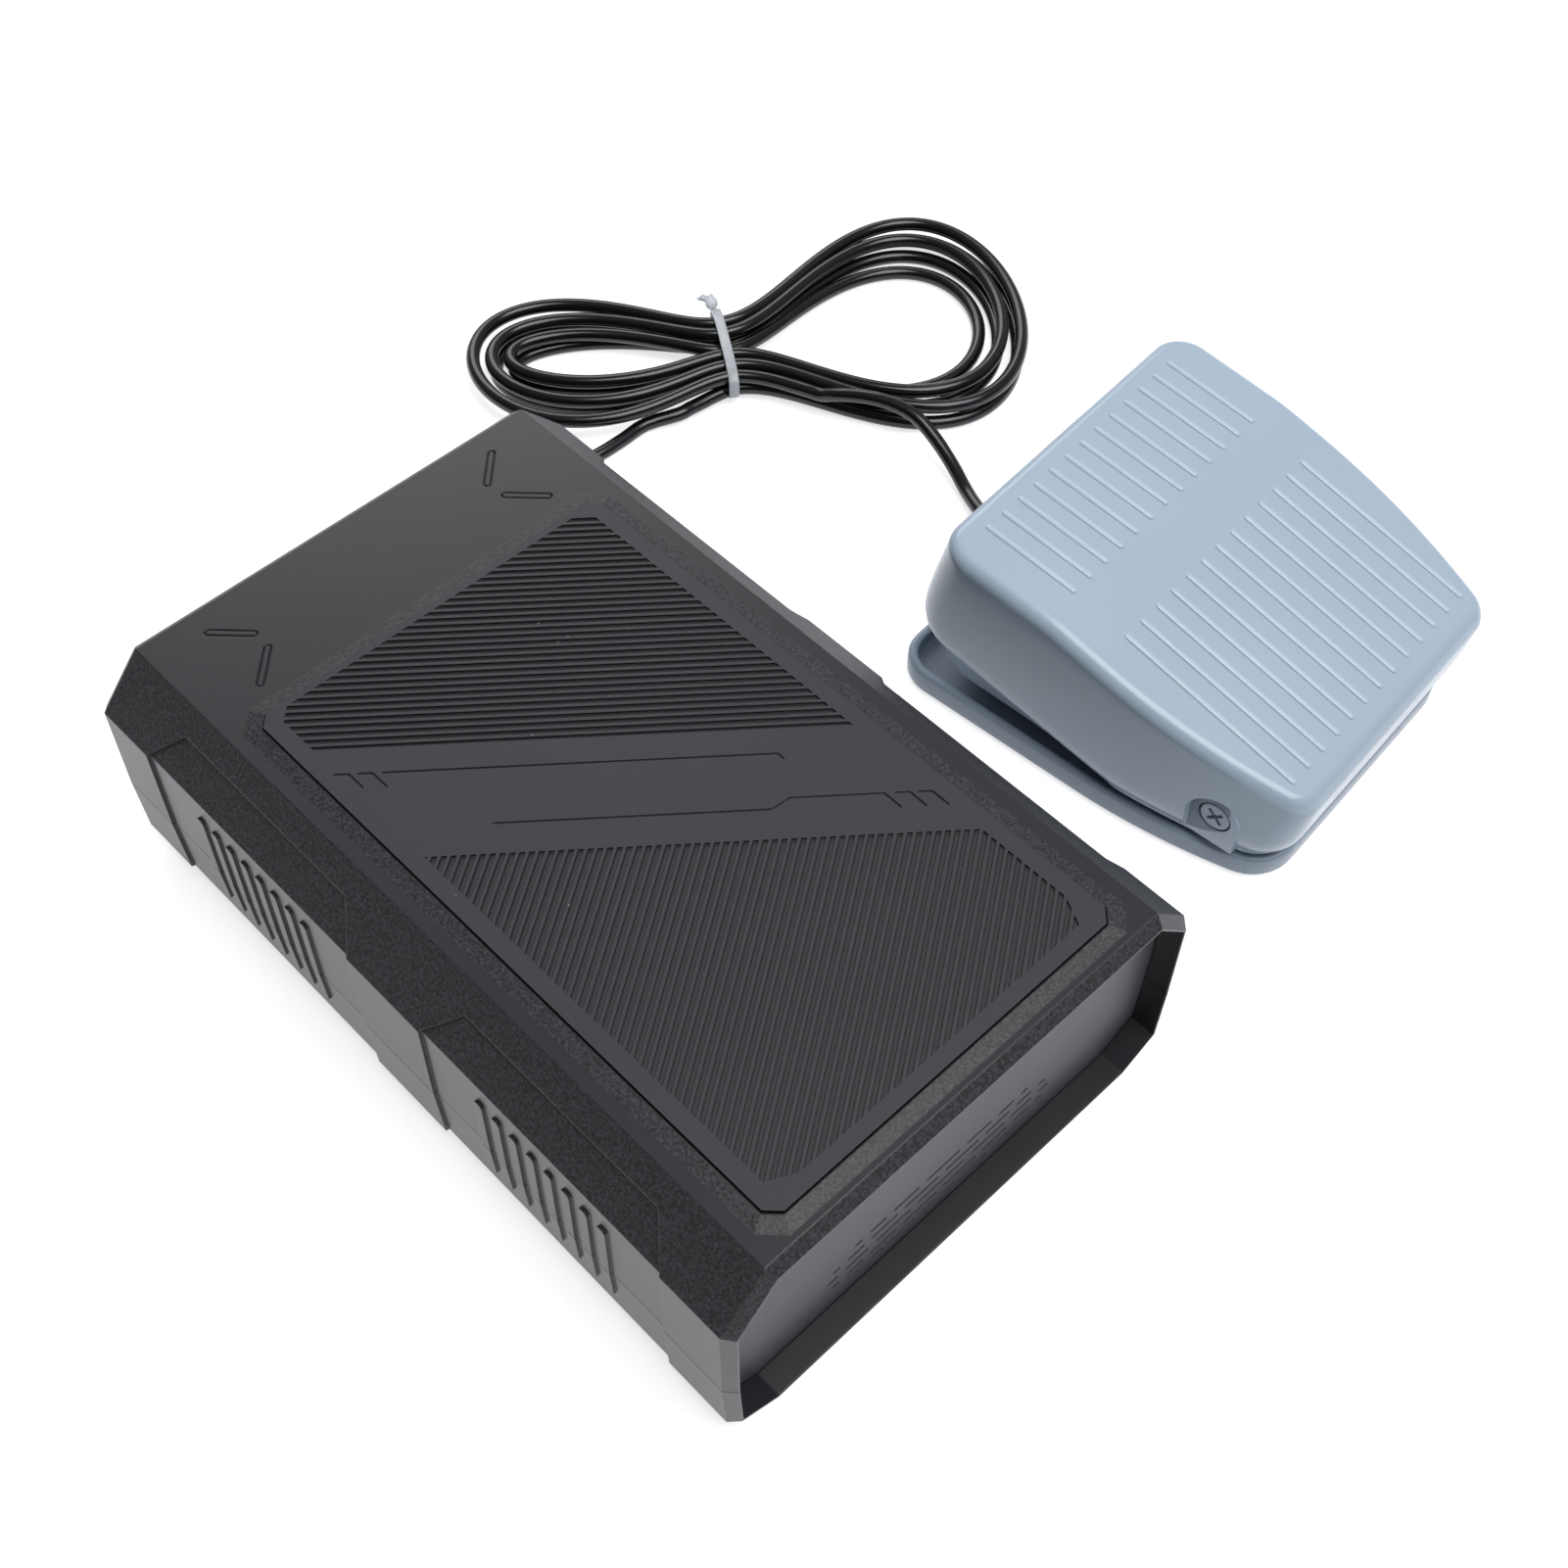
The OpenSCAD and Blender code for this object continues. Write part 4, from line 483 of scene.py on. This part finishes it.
def groove_floor(turn, start):
    """1 along the middle of each groove that runs at this turn, 0 beside its walls, where its painted shade
    is darkest.
    """
    run = (-math.sin(turn) / GROOVE_PITCH, math.cos(turn) / GROOVE_PITCH, 0)
    across = add_node(mat_skin, "VectorMath", [(0, place, "Object")], operation="DOT_PRODUCT", in_1=run)
    away = add_node(mat_skin, "Math", [(0, across, "Value")], operation="SUBTRACT",
                    in_1=Vector(run).dot(start))
    away = add_node(mat_skin, "Math", [(0, away, 0)], operation="PINGPONG", in_1=0.5)
    return add_node(mat_skin, "MapRange", [("Value", away, 0)],
                    in_1=0.1, in_2=GROOVE_HALF / GROOVE_PITCH - 0.06, in_3=1.0, in_4=0.0)


mat_length = MAT_HIGH.x - MAT_LOW.x
middle = BOX.translation
rear_floor = groove_floor(BAND_TURN, Vector((MAT_LOW.x + REAR_START, middle.y, 0)))
front_floor = groove_floor(FRONT_TURN, Vector((middle.x + mat_length / 3, middle.y, 0)))
before_band = add_node(mat_skin, "VectorMath", [(0, place, "Object")], operation="DOT_PRODUCT",
                       in_1=(1, -1 / math.tan(BAND_TURN), 0))
in_front = add_node(mat_skin, "Math", [(0, before_band, "Value")], operation="GREATER_THAN",
                    in_1=middle.x + BAND_MIDDLE - middle.y / math.tan(BAND_TURN))
groove_shade_mask = add_node(mat_skin, "Mix", [("Factor", in_front, 0), (2, rear_floor, 0), (3, front_floor, 0)])
# Painted groove shade: near-black by the walls, dark grey along the middle.
painted_groove_shade = add_node(mat_skin, "Mix", [("Factor", groove_shade_mask, 0)], data_type="RGBA",
                  in_6=linear("#08080a"), in_7=linear("#222126"))
part_z = add_node(mat_skin, "SeparateXYZ", [("Vector", place, "Object")])
# Below the mat's top face the painted shade takes the place of its tone.
top_face = add_node(mat_skin, "MapRange", [("Value", part_z, "Z")],
                    in_1=MAT_HIGH.z - 0.0003, in_2=MAT_HIGH.z - 0.0001)
tone = add_node(mat_skin, "Mix", [("Factor", top_face, 0), (6, painted_groove_shade, 2), (7, tone, 2)], data_type="RGBA")
# Lint and dust cling to rubber: sparse pale specks about 0.4 mm across.
lint = add_node(mat_skin, "TexVoronoi", [("Vector", place, "Object")], in_Scale=170.0, in_Randomness=1.0)
fleck = add_node(mat_skin, "MapRange", [("Value", lint, "Distance")],
                 in_1=0.035, in_2=0.06, in_3=1.0, in_4=0.0)
few = add_node(mat_skin, "TexNoise", [("Vector", place, "Object")], in_Scale=90.0, in_Detail=1.0)
some = add_node(mat_skin, "MapRange", [("Value", few, "Fac")], in_1=0.57, in_2=0.6, in_3=0.0, in_4=0.55)
specks = add_node(mat_skin, "Math", [(0, fleck, 0), (1, some, 0)], operation="MULTIPLY")
dusty = add_node(mat_skin, "Mix", [("Factor", specks, 0), (6, tone, 2)], data_type="RGBA",
                 in_7=linear("#8f8f94"))
grain = add_node(mat_skin, "TexNoise", [("Vector", place, "Object")], in_Scale=1500.0, in_Detail=2.0)
edge = add_node(mat_skin, "Bevel", in_Radius=0.00015, samples=6)
bump = add_node(mat_skin, "Bump", [("Height", grain, "Fac"), ("Normal", edge, "Normal")], in_Distance=0.00002)
skin = add_node(mat_skin, "BsdfPrincipled", [("Base Color", dusty, 2), ("Normal", bump, 0)], in_Roughness=0.5)
add_node(mat_skin, "OutputMaterial", [("Surface", skin, 0)])
dress(mat_skin, "top_mat")

# --- End plates ------------------------------------------------------------
# Flat ABS plates held in slots of the shells, the front one about 6 mm inside
# its end and the rear one about 5 mm. Five rows of cooling slots and an opening
# for the charging socket pierce the front one.
PLATE_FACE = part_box("vent_plate")[1][0]
dress(moulded("black ABS, polished mould", "#37363b", 0.3, grain_mm=0.5, depth_mm=0.008), "rear_plate")
# Behind its face, in the slots and the socket's opening, the front plate is painted near-black as shade.
dress(moulded("black ABS, polished and pierced", "#47464b", 0.5, grain_mm=0.5, depth_mm=0.008,
              deep=("X", PLATE_FACE - 0.0003, PLATE_FACE - 0.0001)), "vent_plate")

# --- Box internals ---------------------------------------------------------
# Control board on brass posts with its capacitors, heat sink and terminal
# block, six cells in a tray, and the charging socket on a small board.


def bare_metal(name, colour, roughness, brush_mm=0.0):
    """Metal as it comes from rolling, plating or extruding; brush_mm spaces its fine lines."""
    material = new_material(name)
    place = add_node(material, "TexCoord")
    stretch = add_node(material, "Mapping", [("Vector", place, "Object")],
                       in_3=(0.08, 1.0, 1.0) if brush_mm else (1.0, 1.0, 1.0))
    lines = add_node(material, "TexNoise", [("Vector", stretch, 0)],
                     in_Scale=1000 / (brush_mm or 0.8), in_Detail=2.0)
    gloss = add_node(material, "MapRange", [("Value", lines, "Fac")], in_1=0.3, in_2=0.7,
                     in_3=roughness - 0.06, in_4=roughness + 0.08)
    bump = add_node(material, "Bump", [("Height", lines, "Fac")], in_Distance=0.00001)
    skin = add_node(material, "BsdfPrincipled", [("Roughness", gloss, 0), ("Normal", bump, 0)],
                    in_Base_Color=linear(colour), in_Metallic=1.0)
    add_node(material, "OutputMaterial", [("Surface", skin, 0)])
    return material


steel_skin = bare_metal("zinc-plated steel", "#c3c6ca", 0.3)
brass_skin = bare_metal("turned brass", "#d2ac5c", 0.28)
fin_skin = bare_metal("extruded aluminium", "#d4d6d8", 0.34, brush_mm=0.3)
dress(steel_skin, "usb_socket", "shell_screws", "switch_screws", "clamp_screws", "switch_lever")
dress(brass_skin, "board_standoffs", "switch_terminals")
dress(fin_skin, "heat_sink")

# Glass-epoxy laminate under green lacquer, with copper tracks that show through.
laminate = new_material("lacquered glass-epoxy laminate")
place = add_node(laminate, "TexCoord")
tracks = add_node(laminate, "TexBrick", [("Vector", place, "Object")], in_Scale=60.0, in_Mortar_Size=0.012,
                  in_Color1=linear("#0f4a2c"), in_Color2=linear("#125534"), in_Mortar=linear("#2c7a4c"))
skin = add_node(laminate, "BsdfPrincipled", [("Base Color", tracks, "Color")], in_Roughness=0.3,
                in_Coat_Weight=0.4)
add_node(laminate, "OutputMaterial", [("Surface", skin, 0)])
dress(laminate, "control_board", "usb_board")

# Shrink sleeves in one plain colour on each can and cell.
sleeve_skin = moulded("dark blue PVC shrink sleeve", "#26344f", 0.28, grain_mm=2.0, depth_mm=0.02)
wrap_skin = moulded("blue PVC cell wrap", "#3d6aa5", 0.26, grain_mm=2.5, depth_mm=0.02)
dress(sleeve_skin, "board_capacitors")
dress(wrap_skin, "battery_cells")
dress(moulded("white ABS, natural", "#dddbd3", 0.5, depth_mm=0.01), "battery_tray", "cord_clamp")
dress(moulded("green polyamide", "#2a7f49", 0.45, depth_mm=0.01), "terminal_block")
dress(sheath, "box_leads", "switch_leads")

# --- Feet and glands -------------------------------------------------------
# Black rubber: four stuck-on feet under each piece, and a moulded strain
# relief where the lead enters each of them.
rubber_skin = moulded("black rubber, moulded", "#1e1e20", 0.62, grain_mm=0.6, depth_mm=0.02, edge_mm=0.3)
dress(rubber_skin, "box_feet", "box_gland", "pedal_gland", "pedal_feet")

# --- Pedal base ------------------------------------------------------------
# Tray moulded in blue-grey ABS. A low rim runs round the well that the
# cover's skirt dips into, and two ears in the well hold the hinge pins.
BOW_START, BOW_RADIUS = 0.045, 0.165
ARC, FLANK = 10, 24
BASE_REAR, BASE_FRONT, BASE_HALF = -0.010, 0.0948, 0.0465
REAR_CORNER, FRONT_CORNER = 0.010, 0.012
WELL_FLOOR = 0.0030
HINGE_X, HINGE_Z = 0.0795, 0.019
EAR_AT, EAR_ROUND, EAR_THICK, EAR_BORE = 0.03475, 0.0055, 0.0035, 0.00228
SPRING_X, SPRING_Y = 0.014, -0.012
SWITCH_X, SWITCH_WALL_Y = 0.0461, 0.0066
SCREW_X, SCREW_Z, SCREW_GAP = 0.0571, 0.0079, 0.0222
CLAMP_X, CLAMP_REACH = 0.008, 0.008


def plan_side(x0, x1, half, r0, r1):
    """One side of the pedal's outline, rear to front: round corners and a bowed flank."""
    def bowed(x):
        return half - max(0.0, x - BOW_START) ** 2 / (2 * BOW_RADIUS)
    lean = math.atan((x1 - 0.75 * r1 - BOW_START) / BOW_RADIUS)
    join = x1 - r1 * (1 - math.sin(lean))
    turn = bowed(join) - r1 * math.cos(lean)
    side = [(x0 + r0 - r0 * math.cos(a), half - r0 + r0 * math.sin(a))
            for a in (math.pi / 2 * i / ARC for i in range(ARC + 1))]
    side += [(x, bowed(x))
             for x in (x0 + r0 + (join - x0 - r0) * i / (FLANK + 1) for i in range(1, FLANK + 1))]
    side += [(x1 - r1 + r1 * math.cos(a), turn + r1 * math.sin(a))
             for a in ((math.pi / 2 - lean) * (1 - i / ARC) for i in range(ARC + 1))]
    return side


def plan_ring(x0, x1, half, r0, r1, height):
    """The whole outline at the height that a function of x gives."""
    side = plan_side(x0, x1, half, r0, r1)
    both = side + [(x, -y) for x, y in reversed(side)]
    return [Vector((x, y, height(x))) for x, y in both]


def raise_rings(rings):
    """A circle drawn up into a shell: each extrusion is set on the next ring."""
    nothing_chosen()
    count = len(rings[0])
    bpy.ops.mesh.primitive_circle_add(vertices=count, radius=0.05)
    shell = bpy.context.object
    bpy.ops.object.mode_set(mode="EDIT")
    choose("EDGE", lambda e: True)
    shape = bmesh.from_edit_mesh(shell.data)
    station = shape.verts.layers.int.new("station")
    shape.verts.ensure_lookup_table()
    for i, vert in enumerate(shape.verts):
        vert[station] = i
        vert.co = rings[0][i]
    bmesh.update_edit_mesh(shell.data)
    for ring in rings[1:]:
        bpy.ops.mesh.extrude_region_move()
        shape = bmesh.from_edit_mesh(shell.data)
        station = shape.verts.layers.int["station"]
        for vert in shape.verts:
            if vert.select:
                vert.co = ring[vert[station]]
        bmesh.update_edit_mesh(shell.data)
    return shell


def close_ring(ring):
    """Bridges the two sides of the outline straight across, in strips."""
    where = {tuple(round(c, 6) for c in p) for p in ring}

    def crosses(edge):
        a, b = (v.co for v in edge.verts)
        return all(tuple(round(c, 6) for c in v) in where for v in (a, b)) and a.y * b.y > 0
    choose("EDGE", lambda e: crosses(e) and len(e.link_faces) == 1)
    bpy.ops.mesh.bridge_edge_loops(type="SINGLE")


def base_ring(inset, height):
    """The base's outline, this far in and at this height."""
    return plan_ring(BASE_REAR + inset, BASE_FRONT - inset, BASE_HALF - inset,
                     REAR_CORNER - inset, FRONT_CORNER - inset, lambda x: height)


def on_hinge(y):
    return (HINGE_X, y, HINGE_Z)


base_rings = [base_ring(*step) for step in (
    (0.0008, 0.0010), (0.0002, 0.0013), (0.0, 0.0019), (0.0, 0.0060), (0.0003, 0.0066), (0.0009, 0.0070),
    (0.0017, 0.0070), (0.0023, 0.0067), (0.0025, 0.0061), (0.0025, 0.0034), (0.0029, WELL_FLOOR))]
base = raise_rings(base_rings)
close_ring(base_rings[-1])
close_ring(base_rings[0])
bpy.ops.mesh.select_all(action="SELECT")
bpy.ops.mesh.normals_make_consistent(inside=False)

gland_hole = round_bar(0.0024, 0.006, (-0.0085, PEDAL_GLAND_Y, PEDAL_GLAND_Z), "X")
cut(base, gland_hole)
fittings = []
for side in (-1, 1):
    ear = round_bar(EAR_ROUND, EAR_THICK, on_hinge(side * EAR_AT), "Y")
    bpy.ops.object.mode_set(mode="EDIT")
    choose("VERT", lambda v: v.co.z < HINGE_Z - 0.0005)
    bpy.ops.transform.resize(value=(1, 1, 0), center_override=(HINGE_X, 0, WELL_FLOOR))
    modify(ear, "BEVEL", width=0.0004, segments=2, limit_method="ANGLE")
    cut(ear, round_bar(EAR_BORE, 0.01, on_hinge(side * EAR_AT), "Y"))
    fittings.append(ear)
seat = round_bar(0.0076, 0.005, (SPRING_X, SPRING_Y, 0.0055))
bpy.ops.object.mode_set(mode="EDIT")
choose("FACE", lambda f: f.normal.z > 0.9)
bpy.ops.mesh.inset(thickness=0.0032)
bpy.ops.mesh.extrude_region_move(TRANSFORM_OT_translate={"value": (0, 0, 0.004)})
modify(seat, "BEVEL", width=0.0004, segments=2, limit_method="ANGLE")
fittings.append(seat)
pad = block((0.0278, 0.0103, 0.002), (SWITCH_X, 0, 0.004))
wall = block((0.0278, 0.0025, 0.009), (SWITCH_X, SWITCH_WALL_Y, 0.0075))
for back in (0, SCREW_GAP):
    cut(wall, round_bar(0.0016, 0.01, (SCREW_X - back, SWITCH_WALL_Y, SCREW_Z), "Y"))
fittings += [pad, wall]
for side in (-1, 1):
    boss_at = (CLAMP_X, PEDAL_GLAND_Y + side * CLAMP_REACH, 0.004)
    boss = round_bar(0.0025, 0.002, boss_at)
    cut(boss, round_bar(0.0013, 0.01, boss_at))
    fittings.append(boss)
base = finish_piece(join_pieces(base, fittings), "pedal_tray", PEDAL)
base_skin = moulded("blue-grey ABS, semi-gloss", "#98a7b6", 0.28, grain_mm=0.9, depth_mm=0.006, shade=0.03)
base.data.materials.append(base_skin)
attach(base, "root")
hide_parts("pedal_base")

# --- Pedal cover -----------------------------------------------------------
# Shell moulded in the same ABS, a shade lighter. Its tread falls in two
# slopes, its sides lean over a crease, and it carries the ribs for the shoe.
TREAD, REAR_FALL, FRONT_FALL = 0.0514, 0.14, 0.277
BEND, BEND_END = 0.029, 0.036
RIM_ROUND, RIM_STEPS = 0.0035, 8
WALL, COVER_CORNER = 0.0022, 0.010
SKIRT_REAR, SKIRT_FALL = 0.0108, 0.0022
SKIRT_X, SKIRT_LONG, SKIRT_FRONT = -0.0015, 0.095, 0.0935
CREASE_REAR, CREASE_LIFT = 0.0216, 0.0006
CREASE_X, CREASE_LONG, CREASE_END = -0.0024, 0.0574, 0.055
CREASE_FRONT, CREASE_HALF = 0.0940, 0.0456
BULGE_LIFT, BULGE_HALF = 0.007, 0.0480
TUCK_MOST, TUCK_POWER, TUCK_SIDE = 0.003, 6, 0.024


def tread(x):
    """Height of the tread: two slopes with a short round bend between them."""
    if x < BEND:
        return TREAD + REAR_FALL * (BEND - x)
    d = min(x, BEND_END) - BEND
    return (TREAD - REAR_FALL * d - (FRONT_FALL - REAR_FALL) * d * d / (2 * (BEND_END - BEND))
            - FRONT_FALL * max(0.0, x - BEND_END))


def skirt(x):
    return SKIRT_REAR - SKIRT_FALL * (x - SKIRT_X) / SKIRT_LONG


def crease(x):
    low = skirt(CREASE_END) + CREASE_LIFT
    line = CREASE_REAR + (low - CREASE_REAR) * (x - CREASE_X) / CREASE_LONG
    return max(skirt(x) + CREASE_LIFT, line)


def tuck(x):
    """How far the skirt is drawn in under the crease, as a share of the most."""
    return max(0.0, 1 - (max(0.0, x - CREASE_X) / CREASE_LONG) ** TUCK_POWER)


def blended(levels, steps):
    """Rings in between, on a smooth curve through the same station of each given ring."""
    lines = [smoothed(list(points), steps) for points in zip(*levels)]
    return [list(ring) for ring in zip(*lines)]


low_edge = plan_ring(SKIRT_X, SKIRT_FRONT, CREASE_HALF, COVER_CORNER, COVER_CORNER, skirt)
for point in low_edge:
    pull = TUCK_MOST * tuck(point.x) * min(1.0, abs(point.y) / TUCK_SIDE)
    point.y -= math.copysign(pull, point.y)
crease_ring = plan_ring(CREASE_X, CREASE_FRONT, CREASE_HALF, COVER_CORNER, COVER_CORNER, crease)
bulge = plan_ring(-0.0055, 0.0965, BULGE_HALF, COVER_CORNER, 0.009, lambda x: crease(x) + BULGE_LIFT)
rim = []
for i in range(RIM_STEPS + 1):
    a = math.pi / 2 * i / RIM_STEPS
    e = RIM_ROUND * (1 - math.cos(a))
    rim.append(plan_ring(-0.0005 + e, 0.0983 - e, BULGE_HALF - e, 0.009 - e, 0.007 - e,
                         lambda x: tread(x) - RIM_ROUND * (1 - math.sin(a))))
cover_rings = [low_edge] + blended([crease_ring, bulge, rim[0]], steps=5)[:-1] + rim
cover = raise_rings(cover_rings)
close_ring(cover_rings[-1])
bpy.ops.mesh.select_all(action="SELECT")
bpy.ops.mesh.normals_make_consistent(inside=False)
modify(cover, "SOLIDIFY", thickness=WALL, offset=-1, use_quality_normals=True)
gland_notch = block((0.008, 0.0064, 0.0134), (SKIRT_X, PEDAL_GLAND_Y, 0.0067))
cut(cover, gland_notch)

# Bearing pads in both sides take the hinge pins. Each is a flat arch let into
# the side, with a round seat for the pin's head that is cut through the side too.
PAD_IN, PAD_OUT, PAST_SIDE = 0.0368, 0.0438, 0.047
PAD_WIDE, PAD_FOOT = 0.0124, 0.0102
POCKET_WIDE, POCKET_FOOT = 0.0130, 0.008
SEAT_RADIUS, PIN_BORE = 0.0042, 0.0023


def arch(width, y0, y1, low):
    """A bar with a round top on the hinge line, drawn down to a flat foot."""
    bar = round_bar(width / 2, abs(y1 - y0), on_hinge((y0 + y1) / 2), "Y", vertices=64)
    bpy.ops.object.mode_set(mode="EDIT")
    choose("VERT", lambda v: v.co.z < HINGE_Z - 0.0001)
    bpy.ops.transform.resize(value=(1, 1, 0), center_override=(HINGE_X, 0, low))
    bpy.ops.object.mode_set(mode="OBJECT")
    return bar


pads = []
for side in (-1, 1):
    cut(cover, arch(POCKET_WIDE, side * PAD_OUT, side * PAST_SIDE, POCKET_FOOT))
    cut(cover, round_bar(SEAT_RADIUS, 0.0056, on_hinge(side * 0.0447), "Y", vertices=48))
    pad = arch(PAD_WIDE, side * PAD_IN, side * PAD_OUT, PAD_FOOT)
    modify(pad, "BEVEL", width=0.0003, segments=2, limit_method="ANGLE")
    cut(pad, round_bar(SEAT_RADIUS, 0.0038, on_hinge(side * PAD_OUT), "Y", vertices=48))
    cut(pad, round_bar(PIN_BORE, 0.02, on_hinge(side * 0.0406), "Y"))
    pads.append(pad)
striker = round_bar(0.002, 0.0226, (0.039, 0, 0.03675))
cup = round_bar(0.0088, 0.024, (SPRING_X, SPRING_Y, 0.0390))
cut(cup, round_bar(0.0073, 0.008, (SPRING_X, SPRING_Y, 0.0270)))
cover = join_pieces(cover, pads + [striker, cup])

# Each rib is one long low bead; the steep front ones are longer.
RIB_RADIUS, RIB_FLAT, RIB_SINK = 0.0008, 0.65, 0.00005
RIB_REACH, RIBS_EACH_SIDE = 0.0358, 6
ribs = []
for start, end in ((0.006, 0.030), (0.0453, 0.0912)):
    run = Vector((end - start, 0, tread(end) - tread(start)))
    nothing_chosen()
    bpy.ops.mesh.primitive_uv_sphere_add(segments=20, ring_count=10, radius=RIB_RADIUS,
                                         location=(0, 0, 0))
    bead = bpy.context.object
    bpy.ops.object.mode_set(mode="EDIT")
    bpy.ops.transform.resize(value=(1, 1, RIB_FLAT), center_override=(0, 0, 0))
    choose("VERT", lambda v: v.co.x > 0.00005)
    bpy.ops.transform.translate(value=(run.length, 0, 0))
    bpy.ops.object.mode_set(mode="OBJECT")
    tilt = math.atan2(-run.z, run.x)
    for i in range(2 * RIBS_EACH_SIDE + 1):
        rib = bead.copy()
        rib.data = bead.data.copy()
        bpy.context.collection.objects.link(rib)
        rib_at = (start, RIB_REACH * (i / RIBS_EACH_SIDE - 1), tread(start) - RIB_SINK)
        rib.matrix_world = Matrix.Translation(rib_at) @ Matrix.Rotation(tilt, 4, "Y")
        ribs.append(rib)
    bpy.data.objects.remove(bead)
cover = finish_piece(cover, "tread_cover", PEDAL, smooth=40)
cover.data.materials.append(moulded("pale blue-grey ABS, semi-gloss", "#a5b6c6", 0.24, grain_mm=0.9,
                                    depth_mm=0.006, shade=0.02))
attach(cover, "cover")
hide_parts("pedal_cover")
ribs = finish_piece(join_pieces(ribs[0], ribs[1:]), "tread_ribs", PEDAL, smooth=60)
# The ribs are painted paler than the cover's ABS, as a painted highlight on their lit tops.
ribs.data.materials.append(moulded("pale blue-grey ABS, glossy, painted highlight", "#b6c5d3", 0.2, grain_mm=0.9,
                                   depth_mm=0.003))
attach(ribs, "cover")

# --- Hinge pins ------------------------------------------------------------
# Two moulded pins, pressed through the pads into the ears. Each round head
# has a cross for the assembler's driver.
PIN_RADIUS, HEAD_RADIUS, HEAD_THICK = 0.00225, 0.0038, 0.0015
HEAD_FACE, CROSS_TURN = 0.0437, 0.785
CROSS_SLOT = (0.0050, 0.0020, 0.0010)
heads = []
for side in (-1, 1):
    pin = round_bar(PIN_RADIUS, 0.0092, on_hinge(side * 0.0376), "Y")
    head = round_bar(HEAD_RADIUS, HEAD_THICK, on_hinge(side * 0.04295), "Y", vertices=48)
    modify(head, "BEVEL", width=0.0003, segments=3, limit_method="ANGLE")
    for tilt in (CROSS_TURN, -CROSS_TURN):
        slot = block(CROSS_SLOT, (0, 0, 0))
        slot.matrix_world = (Matrix.Translation(on_hinge(side * HEAD_FACE))
                             @ Matrix.Rotation(tilt, 4, "Y"))
        cut(head, slot)
    heads += [pin, head]
pins = finish_piece(join_pieces(heads[0], heads[1:]), "hinge_pin_pair", PEDAL)
pins.data.materials.append(base_skin)
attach(pins, "root")
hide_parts("hinge_pins")

# --- Return spring ---------------------------------------------------------
# Cold-wound spring steel, seven turns between the base's seat and the cup in
# the cover. It shortens by about a quarter when the pedal is pressed.
WIRE_RADIUS, COIL_RADIUS = 0.0006, 0.0055
COIL_TURNS, COIL_RISE, COIL_FOOT = 7, 0.0214, 0.008
nothing_chosen()
bpy.ops.mesh.primitive_circle_add(vertices=14, radius=WIRE_RADIUS, fill_type="NOTHING",
                                  location=(COIL_RADIUS, 0, 0.00865), rotation=(math.pi / 2, 0, 0))
spring = bpy.context.object
bpy.ops.object.transform_apply(location=True, rotation=True)
modify(spring, "SCREW", angle=math.radians(360), screw_offset=COIL_RISE / COIL_TURNS,
       iterations=COIL_TURNS, steps=28, render_steps=28, use_merge_vertices=True, merge_threshold=1e-6)
bpy.ops.object.mode_set(mode="EDIT")
choose("EDGE", lambda e: len(e.link_faces) == 1)
bpy.ops.mesh.edge_face_add()
bpy.ops.mesh.select_all(action="SELECT")
bpy.ops.mesh.normals_make_consistent(inside=False)
spring = finish_piece(spring, "coil_spring", PEDAL @ Matrix.Translation((SPRING_X, SPRING_Y, 0)))
spring.data.materials.append(steel_skin)
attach(spring, "root")
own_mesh(spring)
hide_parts("return_spring")

# --- Snap switch -----------------------------------------------------------
# Glass-filled polyester body with a red plunger under a plated steel lever.
dress(moulded("black polyester, glass-filled", "#232225", 0.5, grain_mm=0.5, depth_mm=0.02), "switch_body")
dress(moulded("red acetal", "#a8382a", 0.4, grain_mm=0.8, depth_mm=0.005), "switch_plunger")
